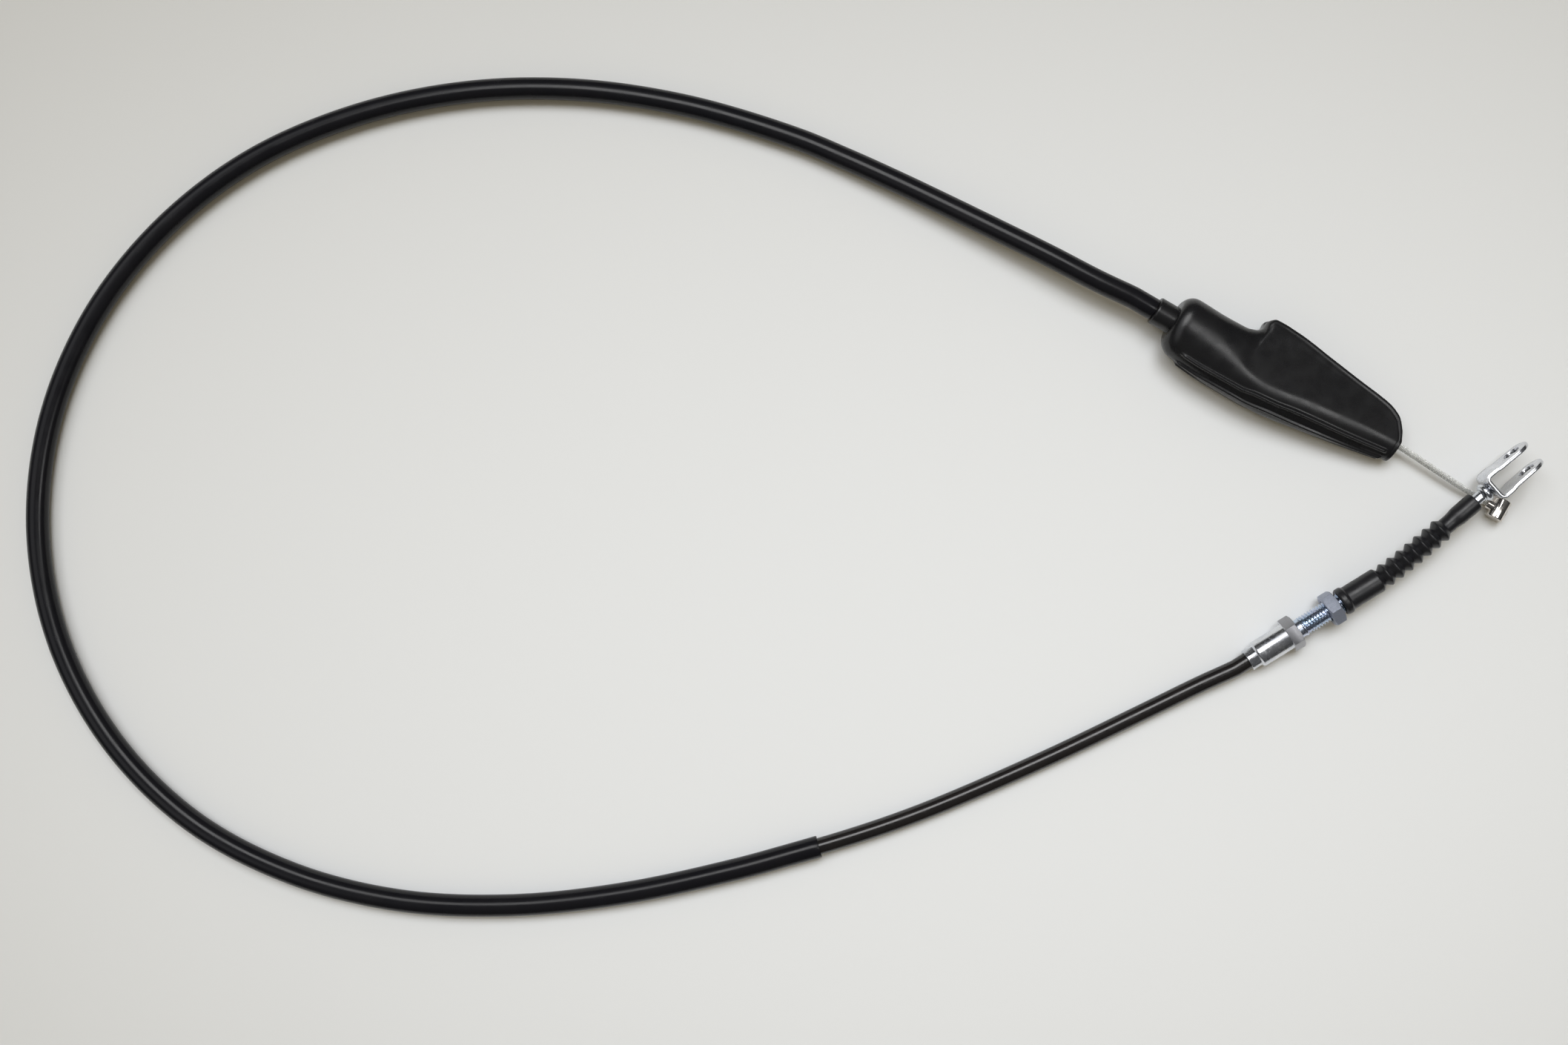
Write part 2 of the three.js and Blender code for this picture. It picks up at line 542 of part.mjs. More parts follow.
/** The lock nut, chamfered on both faces. */
function makeLockNut() {
  const end = NUT_START + NUT_THICKNESS;
  const blank = hexBar(NUT_START, end, HEX_ACROSS_FLATS, true, true);
  const bore = toSolid(bar(NUT_START - 1, end + 1, SCREW_RADIUS + FIT));
  return toGeometry(blank.subtract(bore).rotate([NUT_TURN, 0, 0]));
}

// ---------------------------------------------------------------- bellows

/** The middle line of the bellows: straight in the big cuff, bent through the folds, straight at the end. */
function bellowsPath() {
  const straightIn = new THREE.LineCurve3(along(adjusterEnd, LIP_AT), along(adjusterEnd, CUFF_END_AT));
  const straightOut = new THREE.LineCurve3(bendCurve.v2, along(clevisEnd, 0));
  const path = new THREE.CurvePath();
  path.add(straightIn);
  path.add(bendCurve);
  path.add(straightOut);
  return path;
}

/** The bellows: [distance, radius] rings outside from lip to small cuff, then back along the bore. */
function makeBellows() {
  const path = bellowsPath();
  const threadBore = SCREW_RADIUS + FIT;
  const stemBore = STEM_RADIUS + FIT;
  const lipFoot = LIP_RADIUS - CUFF_RADIUS;
  const outside = [
    [0, LIP_RADIUS - 1.1 * lipFoot], [LIP_LENGTH * 0.25, LIP_RADIUS - 0.1], [LIP_LENGTH * 0.5, LIP_RADIUS],
    [LIP_LENGTH * 0.8, LIP_RADIUS - 0.3 * lipFoot], [LIP_LENGTH, CUFF_RADIUS], [CUFF_LENGTH, CUFF_RADIUS],
  ];
  const inside = [[0, threadBore], [SCREW_END - LIP_AT + FIT, threadBore], [CUFF_LENGTH, FOLD_VALLEY_RADIUS - BELLOWS_WALL]];
  for (let fold = 0; fold < FOLD_COUNT; fold += 1) {
    const valley = FOLDS_START + fold * FOLD_PITCH;
    const peak = valley + FOLD_PITCH / 2;
    outside.push(
      [valley, FOLD_VALLEY_RADIUS], [peak - FOLD_CREST / 2, FOLD_PEAK_RADIUS], [peak + FOLD_CREST / 2, FOLD_PEAK_RADIUS],
    );
    inside.push([valley, FOLD_VALLEY_RADIUS - BELLOWS_WALL], [peak, FOLD_PEAK_RADIUS - BELLOWS_WALL]);
  }
  outside.push(
    [FOLDS_END, BELLOWS_NECK_RADIUS], [FOLDS_END + BELLOWS_NECK_LENGTH, BELLOWS_NECK_RADIUS],
    [SMALL_CUFF_START, SMALL_CUFF_RADIUS], [BELLOWS_LENGTH - 1.2, SMALL_CUFF_RADIUS],
    [BELLOWS_LENGTH - 0.4, SMALL_CUFF_RADIUS - 0.4], [BELLOWS_LENGTH, SMALL_CUFF_RADIUS - 1.1],
  );
  inside.push([FOLDS_END, stemBore], [BELLOWS_LENGTH, stemBore]);
  const ring = ([distance, radius]) => {
    const share = distance / BELLOWS_LENGTH;
    const middle = path.getPointAt(share);
    const tangent = path.getTangentAt(share);
    const sideways = new THREE.Vector3().crossVectors(new THREE.Vector3(0, 0, 1), tangent).normalize();
    const upward = new THREE.Vector3().crossVectors(tangent, sideways);
    return Array.from({ length: BELLOWS_SIDES }, (_, i) => {
      const angle = (i / BELLOWS_SIDES) * 2 * Math.PI;
      return middle.clone()
        .addScaledVector(sideways, radius * Math.cos(angle))
        .addScaledVector(upward, radius * Math.sin(angle));
    });
  };
  return skin([...outside, ...inside.reverse()].map(ring), true);
}

// ---------------------------------------------------------------- clevis end

const BASE_AT = STEM_SHOWS + BALL_LENGTH + FIT;

/** The end stem: socket for the cable, ball, riveted pin through the clevis and its head. */
function makeEndStem() {
  const socket = WIRE_RADIUS + FIT;
  const head = BASE_AT + CLEVIS_SHEET + FIT;
  const ball = STEM_SHOWS;
  return turned([
    [-STEM_TAIL, socket], [-STEM_TAIL, STEM_RADIUS], [ball - 0.3, STEM_RADIUS], [ball + 0.2, STEM_RADIUS + 0.75],
    [ball + 0.9, BALL_RADIUS - 0.3], [ball + 1.6, BALL_RADIUS], [ball + 2.3, BALL_RADIUS - 0.1],
    [ball + BALL_LENGTH, BALL_RADIUS - 0.6], [ball + BALL_LENGTH, RIVET_RADIUS], [head, RIVET_RADIUS],
    [head, RIVET_HEAD_RADIUS], [head + RIVET_HEAD_HEIGHT * 0.6, RIVET_HEAD_RADIUS * 0.85],
    [head + RIVET_HEAD_HEIGHT, RIVET_HEAD_RADIUS * 0.4], [head + RIVET_HEAD_HEIGHT, 0],
    [STEM_SOCKET_DEPTH - STEM_TAIL, 0], [STEM_SOCKET_DEPTH - STEM_TAIL, socket],
  ]);
}

/** One side of the clevis strip's outline, from the middle of its base to a tip, at a depth into the sheet. */
function clevisSide(outline, sign, depth, reverse) {
  const root = CLEVIS_ROOT_SPREAD / 2 - depth;
  const tip = CLEVIS_TIP_SPREAD / 2 - depth;
  const round = CLEVIS_BEND_RADIUS - depth;
  const corner = Array.from({ length: 5 }, (_, i) => {
    const angle = (i / 4) * (Math.PI / 2);
    return [depth + round * (1 - Math.cos(angle)), root - round * (1 - Math.sin(angle))];
  });
  const joggle = Array.from({ length: 5 }, (_, i) => {
    const share = i / 4;
    return [CLEVIS_JOGGLE_AT + CLEVIS_JOGGLE_LENGTH * share, root + (tip - root) * (1 - Math.cos(Math.PI * share)) / 2];
  });
  const points = [...corner, ...joggle, [CLEVIS_LENGTH, tip]].map(([x, y]) => [BASE_AT + x, sign * y]);
  (reverse ? points.reverse() : points).forEach((at) => outline.push(new THREE.Vector2(...at)));
}

/** The clevis: a bent strip with drawn-in ears, round tips, an eye through both and a hole in its base. */
function makeClevis() {
  const outline = [];
  clevisSide(outline, 1, 0, false);
  clevisSide(outline, 1, CLEVIS_SHEET, true);
  clevisSide(outline, -1, CLEVIS_SHEET, false);
  clevisSide(outline, -1, 0, true);
  const strip = new THREE.ExtrudeGeometry(new THREE.Shape(outline.reverse()), { depth: CLEVIS_WIDTH, bevelEnabled: false })
    .translate(0, 0, -CLEVIS_WIDTH / 2);
  const tip = BASE_AT + CLEVIS_LENGTH;
  const half = CLEVIS_WIDTH / 2;
  const blank = new THREE.Shape();
  blank.moveTo(BASE_AT - 1, -half);
  blank.lineTo(tip - CLEVIS_TIP_ROUND, -half);
  blank.absellipse(tip - CLEVIS_TIP_ROUND, 0, CLEVIS_TIP_ROUND, half, -Math.PI / 2, Math.PI / 2, false);
  blank.lineTo(BASE_AT - 1, half);
  const profile = new THREE.ExtrudeGeometry(blank, { depth: 2 * CLEVIS_WIDTH, curveSegments: 14, bevelEnabled: false })
    .translate(0, 0, -CLEVIS_WIDTH).rotateX(Math.PI / 2);
  const eye = new THREE.CylinderGeometry(CLEVIS_EYE_RADIUS, CLEVIS_EYE_RADIUS, 2 * CLEVIS_WIDTH, LATHE_SIDES)
    .translate(tip - CLEVIS_EYE_TO_TIP, 0, 0);
  const hole = bar(BASE_AT - 1, BASE_AT + CLEVIS_SHEET + 1, RIVET_RADIUS + FIT);
  return toGeometry(toSolid(strip).intersect(toSolid(profile)).subtract(toSolid(eye)).subtract(toSolid(hole)));
}

// ---------------------------------------------------------------- assembly

const cable = new THREE.Group();
cable.add(leverEnd, adjusterEnd, clevisEnd);

/** Adds one named piece to a group. */
function place(group, name, geometry, material) {
  const mesh = new THREE.Mesh(geometry, material);
  mesh.name = name;
  group.add(mesh);
}

place(cable, 'outer_sleeve', outerSleeve, SLEEVE_VINYL);
place(cable, 'conduit_jacket', conduitJacket, JACKET_PLASTIC);
place(cable, 'conduit_coil', conduitCoil, WINDING_STEEL);
place(cable, 'conduit_liner', conduitLiner, LINER_PLASTIC);
place(cable, 'inner_wire', innerWire, STRAND_STEEL);

place(leverEnd, 'lever_boot', makeLeverBoot(), MATT_RUBBER);
place(leverEnd, 'lever_ferrule', makeLeverFerrule(), BRIGHT_ZINC);
place(leverEnd, 'wire_lever_end', makeLeverWire(), STRAND_STEEL);
place(leverEnd, 'barrel_nipple', makeNipple(), NICKEL);
place(leverEnd, 'nipple_solder', makeSolder(), SOLDER);

place(adjusterEnd, 'adjuster_barrel', makeAdjusterBarrel(), BRIGHT_ZINC);
place(adjusterEnd, 'adjuster_screw', makeAdjusterScrew(), BLUE_ZINC);
place(adjusterEnd, 'lock_nut', makeLockNut(), BLUE_ZINC);
place(cable, 'bellows', makeBellows(), MATT_RUBBER);

place(clevisEnd, 'end_stem', makeEndStem(), BRIGHT_ZINC);
place(clevisEnd, 'clevis', makeClevis(), BRIGHT_ZINC);

export default cable;
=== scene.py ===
"""A drum-brake control cable lying in an open loop on a pale bench.

Each piece is shaped in millimetres, in the frame of the cable end that it belongs to, and is then
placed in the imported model's frame, in metres. A frame's +X runs along the axis of its cable end.
"""
from __future__ import annotations

import json
import logging
import math
from dataclasses import dataclass
from enum import Enum
from typing import Callable, Sequence

import bmesh
import bpy
from mathutils import Matrix, Vector

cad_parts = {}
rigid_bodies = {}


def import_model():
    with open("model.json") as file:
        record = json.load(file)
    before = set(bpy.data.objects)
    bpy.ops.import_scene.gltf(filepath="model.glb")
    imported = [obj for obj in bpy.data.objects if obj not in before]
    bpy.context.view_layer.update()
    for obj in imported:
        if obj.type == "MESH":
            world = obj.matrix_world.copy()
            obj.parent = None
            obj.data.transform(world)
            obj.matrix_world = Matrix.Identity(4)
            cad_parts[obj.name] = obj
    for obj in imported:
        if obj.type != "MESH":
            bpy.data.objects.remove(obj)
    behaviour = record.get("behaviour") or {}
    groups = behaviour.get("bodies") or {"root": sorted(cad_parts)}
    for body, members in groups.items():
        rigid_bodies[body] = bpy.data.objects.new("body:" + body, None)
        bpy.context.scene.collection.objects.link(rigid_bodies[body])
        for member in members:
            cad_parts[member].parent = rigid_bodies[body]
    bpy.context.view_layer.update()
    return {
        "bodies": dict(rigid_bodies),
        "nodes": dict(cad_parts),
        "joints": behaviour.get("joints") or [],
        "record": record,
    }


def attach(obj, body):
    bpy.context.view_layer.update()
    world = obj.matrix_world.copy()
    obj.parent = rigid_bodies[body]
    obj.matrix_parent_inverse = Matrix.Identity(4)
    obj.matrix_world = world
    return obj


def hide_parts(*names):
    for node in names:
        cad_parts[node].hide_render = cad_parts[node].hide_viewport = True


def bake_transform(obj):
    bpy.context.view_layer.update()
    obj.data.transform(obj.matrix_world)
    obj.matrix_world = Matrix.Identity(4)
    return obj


LOG = logging.getLogger("control_cable")
METRES = 0.001
DOUBLES = 1e-4
QUARTER = math.pi / 2

BMesh = bmesh.types.BMesh
Socket = bpy.types.NodeSocket
Colour = tuple[float, float, float]
Pair = tuple[float, float]


class Body(Enum):
    """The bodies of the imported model."""

    CASING = "casing"
    LEVER_END = "lever_end"
    BRAKE_END = "brake_end"
    CLEVIS_YOKE = "clevis_yoke"
    LOCK_NUT = "lock_nut"


class Slot(Enum):
    """The finishes that the record names."""

    SLEEVE_VINYL = "sleeve_vinyl"
    JACKET_PLASTIC = "jacket_plastic"
    WINDING_STEEL = "winding_steel"
    LINER_PLASTIC = "liner_plastic"
    STRAND_STEEL = "strand_steel"
    BOOT_RUBBER = "boot_rubber"
    BELLOWS_RUBBER = "bellows_rubber"
    BRIGHT_ZINC = "bright_zinc"
    BLUE_ZINC = "blue_zinc"
    NICKEL = "nickel"
    SOLDER = "solder"


class Cut(Enum):
    """How one shape acts on another."""

    JOIN = "UNION"
    KEEP_COMMON = "INTERSECT"
    REMOVE = "DIFFERENCE"


# ---------------------------------------------------------------- places and lines


@dataclass(frozen=True)
class AxisFrame:
    """A place on the bench whose +X runs along an axis.

    Args:
        origin: the frame's origin, in millimetres.
        yaw: the axis's turn about +Z, in degrees.
        rise: the axis's climb off the bench, in degrees.
    """

    origin: tuple[float, float, float]
    yaw: float
    rise: float

    @property
    def to_bench(self) -> Matrix:
        """The matrix from this frame to the bench, both in millimetres."""
        yaw = Matrix.Rotation(math.radians(self.yaw), 4, "Z")
        return Matrix.Translation(self.origin) @ yaw @ Matrix.Rotation(-math.radians(self.rise), 4, "Y")

    @property
    def direction(self) -> Vector:
        """The axis's direction on the bench."""
        return (self.to_bench.to_3x3() @ Vector((1, 0, 0))).normalized()

    def along(self, distance: float) -> Vector:
        """The point at a distance along the axis, in millimetres."""
        return self.to_bench @ Vector((distance, 0, 0))


@dataclass(frozen=True)
class EndFrames:
    """The frames of the cable's ends, and the distances along them that several pieces share."""

    lever: AxisFrame = AxisFrame((-70.5, 66.95, 10.3), -29.6, -2.53)
    adjuster: AxisFrame = AxisFrame((-33.7, -67.67, 5.05), 32.5, 3.5)
    stem_yaw: float = 41.3
    crimp_length: float = 3.95
    barrel_length: float = 13.75
    flange_thickness: float = 4.5
    screw_length: float = 29.0
    nut_at: float = 13.3
    nut_thickness: float = 4.8
    bellows_gap: float = 1.3
    bellows_length: float = 64.0
    cuff_length: float = 16.8
    bend_after_cuff: float = 7.6
    bend_run_out: float = 20.0
    conduit_depth: float = 15.6

    @property
    def hex_at(self) -> float:
        """Where the flange starts along the adjuster's axis."""
        return self.crimp_length + self.barrel_length

    @property
    def flange_face_at(self) -> float:
        """Where the flange's outer face is."""
        return self.hex_at + self.flange_thickness

    @property
    def screw_end(self) -> float:
        """Where the screw ends."""
        return self.flange_face_at + self.screw_length

    @property
    def nut_start(self) -> float:
        """Where the lock nut's near face is."""
        return self.flange_face_at + self.nut_at

    @property
    def lip_at(self) -> float:
        """Where the bellows starts."""
        return self.nut_start + self.nut_thickness + self.bellows_gap

    @property
    def cuff_end_at(self) -> float:
        """Where the big cuff of the bellows ends and its bend starts."""
        return self.lip_at + self.cuff_length

    @property
    def bend(self) -> Vector:
        """Where the adjuster's axis meets the stem's."""
        return self.adjuster.along(self.cuff_end_at + self.bend_after_cuff)

    @property
    def stem(self) -> AxisFrame:
        """The frame of the stem and the clevis, which starts where the stem leaves the bellows."""
        there = AxisFrame(tuple(self.bend), self.stem_yaw, self.adjuster.rise)
        start = there.along(self.bellows_length - self.cuff_length - self.bend_after_cuff)
        return AxisFrame(tuple(start), self.stem_yaw, self.adjuster.rise)

    def bend_arc(self, steps: int) -> list[Vector]:
        """The points of the bellows's bend, from the end of its big cuff.

        Args:
            steps: steps round the bend.

        Returns:
            The points, in millimetres.
        """
        start, corner = self.adjuster.along(self.cuff_end_at), self.bend
        end = corner + self.stem.direction * self.bend_run_out
        shares = [i / steps for i in range(steps + 1)]
        return [start * (1 - t) ** 2 + corner * 2 * t * (1 - t) + end * t**2 for t in shares]


class Route:
    """A line through close points, measured by its own length in millimetres."""

    def __init__(self, points: Sequence[Vector]) -> None:
        """Measures the line.

        Args:
            points: the points in order.
        """
        self.points = [Vector(point) for point in points]
        self.marks = [0.0]
        for here, there in zip(self.points, self.points[1:]):
            self.marks.append(self.marks[-1] + (there - here).length)

    @property
    def length(self) -> float:
        """The line's whole length."""
        return self.marks[-1]

    def at(self, distance: float) -> Vector:
        """The point at a distance along the line; past an end it goes straight on.

        Args:
            distance: millimetres from the start.

        Returns:
            The point.
        """
        low, high = 0, len(self.marks) - 1
        while high - low > 1:
            middle = (low + high) // 2
            if self.marks[middle] <= distance:
                low = middle
            else:
                high = middle
        span = self.marks[high] - self.marks[low]
        share = (distance - self.marks[low]) / span
        return self.points[low] + (self.points[high] - self.points[low]) * share

    def direction(self, distance: float, reach: float = 0.6) -> Vector:
        """The line's direction at a distance, over a short reach on both sides.

        Args:
            distance: millimetres from the start.
            reach: how far to look each way.

        Returns:
            The unit direction.
        """
        return (self.at(distance + reach) - self.at(distance - reach)).normalized()

    def section(self, distance: float) -> tuple[Vector, Vector, Vector]:
        """The point, the sideways and the upward direction of a section that stays upright.

        Args:
            distance: millimetres from the start.

        Returns:
            The point and the two directions.
        """
        tangent = self.direction(distance)
        sideways = Vector((0, 0, 1)).cross(tangent).normalized()
        return self.at(distance), sideways, tangent.cross(sideways)


def smooth_line(points: Sequence[Vector], steps: int = 24) -> list[Vector]:
    """Close points on a centripetal spline through a few.

    Args:
        points: the points to pass through.
        steps: steps in each stretch.

    Returns:
        The close points.
    """
    line: list[Vector] = []
    for i in range(len(points) - 1):
        start, end = points[i], points[i + 1]
        before = points[i - 1] if i > 0 else 2 * start - end
        after = points[i + 2] if i + 2 < len(points) else 2 * end - start
        stretches = ((before, start), (start, end), (end, after))
        into, over, out = (math.sqrt((b - a).length) for a, b in stretches)
        leave = ((start - before) / into - (end - before) / (into + over) + (end - start) / over) * over
        arrive = ((end - start) / over - (after - start) / (over + out) + (after - end) / out) * over
        for step in range(steps):
            t = step / steps
            bent = -3 * start + 3 * end - 2 * leave - arrive
            line.append(start + leave * t + bent * t**2 + (2 * start - 2 * end + leave + arrive) * t**3)
    return line + [points[-1]]


class Profile:
    """A smooth curve through knots that never swings past them."""

    def __init__(self, *knots: Pair) -> None:
        """Works out the slopes.

        Args:
            knots: pairs of place and value, in order.
        """
        self.places = [place for place, _ in knots]
        self.values = [value for _, value in knots]
        rises = [(there[1] - here[1]) / (there[0] - here[0]) for here, there in zip(knots, knots[1:])]
        self.slopes = [rises[0]]
        for left, right in zip(rises, rises[1:]):
            self.slopes.append(0.0 if left * right <= 0 else 2 * left * right / (left + right))
        self.slopes.append(rises[-1])

    def __call__(self, place: float) -> float:
        """The curve's value; outside the knots it keeps the end's value.

        Args:
            place: where to read the curve.

        Returns:
            The value.
        """
        if place <= self.places[0]:
            return self.values[0]
        if place >= self.places[-1]:
            return self.values[-1]
        i = max(k for k in range(len(self.places) - 1) if self.places[k] <= place)
        span = self.places[i + 1] - self.places[i]
        t = (place - self.places[i]) / span
        return (
            self.values[i] * (2 * t**3 - 3 * t**2 + 1)
            + self.values[i + 1] * (3 * t**2 - 2 * t**3)
            + self.slopes[i] * span * (t**3 - 2 * t**2 + t)
            + self.slopes[i + 1] * span * (t**3 - t**2)
        )


def ease(value: float, start: float = 0.0, end: float = 1.0) -> float:
    """A soft step from 0 at start to 1 at end.

    Args:
        value: the place on the step.
        start: where the step starts.
        end: where it ends.

    Returns:
        The share of the step, from 0 to 1.
    """
    share = min(max((value - start) / (end - start), 0.0), 1.0)
    return share * share * (3 - 2 * share)


def mix(first: float, second: float, share: float) -> float:
    """The number a share of the way from the first to the second."""
    return first + (second - first) * share


# ---------------------------------------------------------------- shaping


def wrap_grid(
    rows: int, columns: int, place: Callable[[int, int], Vector], shape: BMesh | None = None,
) -> BMesh:
    """A grid whose corners are laid on a surface, with meeting edges joined.

    Args:
        rows: faces along the surface.
        columns: faces across it.
        place: gives a corner's place from its row and column.
        shape: a shape to add the grid to, or none for a new one.

    Returns:
        The shape.
    """
    shape = shape or bmesh.new()
    made = bmesh.ops.create_grid(shape, x_segments=columns, y_segments=rows, size=0.5)
    for vertex in made["verts"]:
        row = round((vertex.co.y + 0.5) * rows)
        column = round((vertex.co.x + 0.5) * columns)
        vertex.co = place(row, column)
    bmesh.ops.remove_doubles(shape, verts=made["verts"], dist=DOUBLES)
    return shape


@dataclass(frozen=True)
class Ring:
    """One ring of a sheath.

    Args:
        at: distance along the route.
        radius: the ring's radius.
        worked: whether the sheath's relief shows on it.
    """

    at: float
    radius: float
    worked: bool = False


def sheath(
    route: Route,
    rings: Sequence[Ring],
    sides: int,
    relief: Callable[[float, float], float] | None = None,
    twist: float = 0.0,
) -> BMesh:
    """A surface of rings along a route. The last ring meets the first, or both have no radius.

    Args:
        route: the line that the rings follow.
        rings: the rings in order.
        sides: corners in a ring.
        relief: height that a worked ring gets, from the distance and the angle before the twist.
        twist: turn of the rings for each millimetre, in radians.

    Returns:
        The closed shape.
    """
    sections = [route.section(ring.at) for ring in rings]

    def place(row: int, column: int) -> Vector:
        """The place of a ring's corner."""
        ring = rings[row]
        angle = math.tau * (column % sides) / sides
        lift = relief(ring.at, angle) if relief and ring.worked else 0.0
        middle, sideways, upward = sections[row]
        turned = angle + twist * ring.at
        return middle + (sideways * math.cos(turned) + upward * math.sin(turned)) * (ring.radius + lift)

    shape = wrap_grid(len(rings) - 1, sides, place)
    bmesh.ops.recalc_face_normals(shape, faces=shape.faces)
    return shape


def pipe_rings(start: float, end: float, outer: float, inner: float, step: float, lip: float) -> list[Ring]:
    """The rings of a pipe with slightly rounded ends.

    Args:
        start: where the pipe starts.
        end: where it ends.
        outer: its outer radius.
        inner: its inner radius.
        step: the distance between rings.
        lip: the rounding of its ends.

    Returns:
        The rings, the last like the first.
    """
    count = max(2, round((end - start - 2 * lip) / step))
    places = [start + lip + (end - start - 2 * lip) * i / count for i in range(count + 1)]
    outside = [Ring(start, outer - lip), Ring(start + lip * 0.3, outer - lip * 0.3)]
    outside += [Ring(place, outer, True) for place in places]
    outside += [Ring(end - lip * 0.3, outer - lip * 0.3), Ring(end, outer - lip)]
    inside = [Ring(place, inner) for place in [end] + places[::-4] + [start]]
    return outside + inside + outside[:1]


def fillet(corners: Sequence[tuple[float, float, float]], steps: int = 5) -> list[Pair]:
    """An outline with its corners rounded.

    Args:
        corners: place, radius and rounding of each corner.
        steps: steps round each corner.

    Returns:
        The outline's points.
    """
    points: list[Pair] = []
    for i, (x, y, rounding) in enumerate(corners):
        here = Vector((x, y))
        if rounding <= 0 or i in (0, len(corners) - 1):
            points.append((x, y))
            continue
        back = (Vector(corners[i - 1][:2]) - here).normalized()
        ahead = (Vector(corners[i + 1][:2]) - here).normalized()
        for step in range(steps + 1):
            t = step / steps
            at = (here + back * rounding) * (1 - t) ** 2 + here * 2 * t * (1 - t)
            at += (here + ahead * rounding) * t**2
            points.append((at.x, at.y))
    return points


def turn_solid(outline: Sequence[Pair], steps: int = 96) -> BMesh:
    """A solid of revolution about +X.

    Args:
        outline: places along the axis and radii, from axis to axis or as a closed outline.
        steps: steps of the spin.

    Returns:
        The closed shape.
    """
    shape = bmesh.new()
    corners = [shape.verts.new((x, radius, 0)) for x, radius in outline]
    edges = [shape.edges.new(pair) for pair in zip(corners, corners[1:])]
    if outline[0][1] > 0:
        edges.append(shape.edges.new((corners[-1], corners[0])))
    bmesh.ops.spin(
        shape, geom=corners + edges, cent=(0, 0, 0), axis=(1, 0, 0), dvec=(0, 0, 0), angle=math.tau,
        steps=steps,
        use_merge=True, use_duplicate=False,
    )
    bmesh.ops.remove_doubles(shape, verts=shape.verts, dist=DOUBLES)
    bmesh.ops.recalc_face_normals(shape, faces=shape.faces)
    return shape


def to_mesh(shape: BMesh, name: str) -> bpy.types.Mesh:
    """Turns a shape into a mesh, and frees the shape.

    Args:
        shape: the shape.
        name: the mesh's name.

    Returns:
        The mesh.
    """
    mesh = bpy.data.meshes.new(name)
    shape.to_mesh(mesh)
    shape.free()
    return mesh


def add_object(name: str, data: bpy.types.ID) -> bpy.types.Object:
    """Adds an object to the scene.

    Args:
        name: its name.
        data: its mesh, light or camera.

    Returns:
        The object.
    """
    made = bpy.data.objects.new(name, data)
    bpy.context.scene.collection.objects.link(made)
    return made


def combine(shape: BMesh, tool: BMesh, cut: Cut) -> BMesh:
    """Joins, keeps or removes what two closed shapes share.

    Args:
        shape: the shape that is worked.
        tool: the shape that acts on it.
        cut: what it does.

    Returns:
        The new shape. The two old ones are freed.
    """
    worked, cutter = (add_object("part", to_mesh(source, "part")) for source in (shape, tool))
    modifier = worked.modifiers.new("cut", "BOOLEAN")
    modifier.operation = cut.value
    modifier.solver = "EXACT"
    modifier.object = cutter
    bpy.context.view_layer.update()
    cut_mesh = bpy.data.meshes.new_from_object(worked.evaluated_get(bpy.context.evaluated_depsgraph_get()))
    result = bmesh.new()
    result.from_mesh(cut_mesh)
    for made in (worked, cutter):
        mesh = made.data
        bpy.data.objects.remove(made)
        bpy.data.meshes.remove(mesh)
    bpy.data.meshes.remove(cut_mesh)
    bmesh.ops.remove_doubles(result, verts=result.verts, dist=DOUBLES)
    return result


def soften(shape: BMesh, width: float, sharper_than: float = 28.0) -> BMesh:
    """Bevels a shape's sharp edges.

    Args:
        shape: the shape.
        width: the bevel's width.
        sharper_than: the least angle between two faces, in degrees.

    Returns:
        The same shape.
    """
    shape.normal_update()
    limit = math.radians(sharper_than)
    sharp = [edge for edge in shape.edges if edge.is_manifold and edge.calc_face_angle(0.0) > limit]
    bmesh.ops.bevel(
        shape, geom=sharp, offset=width, offset_type="OFFSET", segments=2, profile=0.5, affect="EDGES",
        clamp_overlap=True, material=-1,
    )
    return shape


def hex_prism(start: float, end: float, across: float, turn: float = 0.0) -> BMesh:
    """A hexagonal prism along +X, with a flat up before its turn.

    Args:
        start: where it starts.
        end: where it ends.
        across: the distance across its flats.
        turn: its turn about +X, in degrees.

    Returns:
        The closed shape.
    """
    shape = bmesh.new()
    corner = across / math.sqrt(3)
    bmesh.ops.create_cone(shape, cap_ends=True, segments=6, radius1=corner, radius2=corner, depth=end - start)
    shape.transform(Matrix.Rotation(math.radians(turn), 4, "X") @ Matrix.Rotation(QUARTER, 4, "Y"))
    shape.transform(Matrix.Translation(((start + end) / 2, 0, 0)))
    return shape


def chamfered_hex(start: float, end: float, across: float, turn: float, at_start: bool) -> BMesh:
    """A hexagonal bar whose corners are turned off at its end, and at its start if asked for.

    Args:
        start: where it starts.
        end: where it ends.
        across: the distance across its flats.
        turn: its turn about +X, in degrees.
        at_start: whether its start is chamfered too.

    Returns:
        The closed shape.
    """
    corner = across / math.sqrt(3) + 0.05
    face = across / 2 - 0.1
    depth = 0.6
    past = 0.01
    outline = [(start - past, 0.0), (start - past, face if at_start else corner), (start + depth, corner)]
    outline += [(end - depth, corner), (end + past, face), (end + past, 0.0)]
    return combine(hex_prism(start, end, across, turn), turn_solid(outline), Cut.KEEP_COMMON)


# ---------------------------------------------------------------- finishes


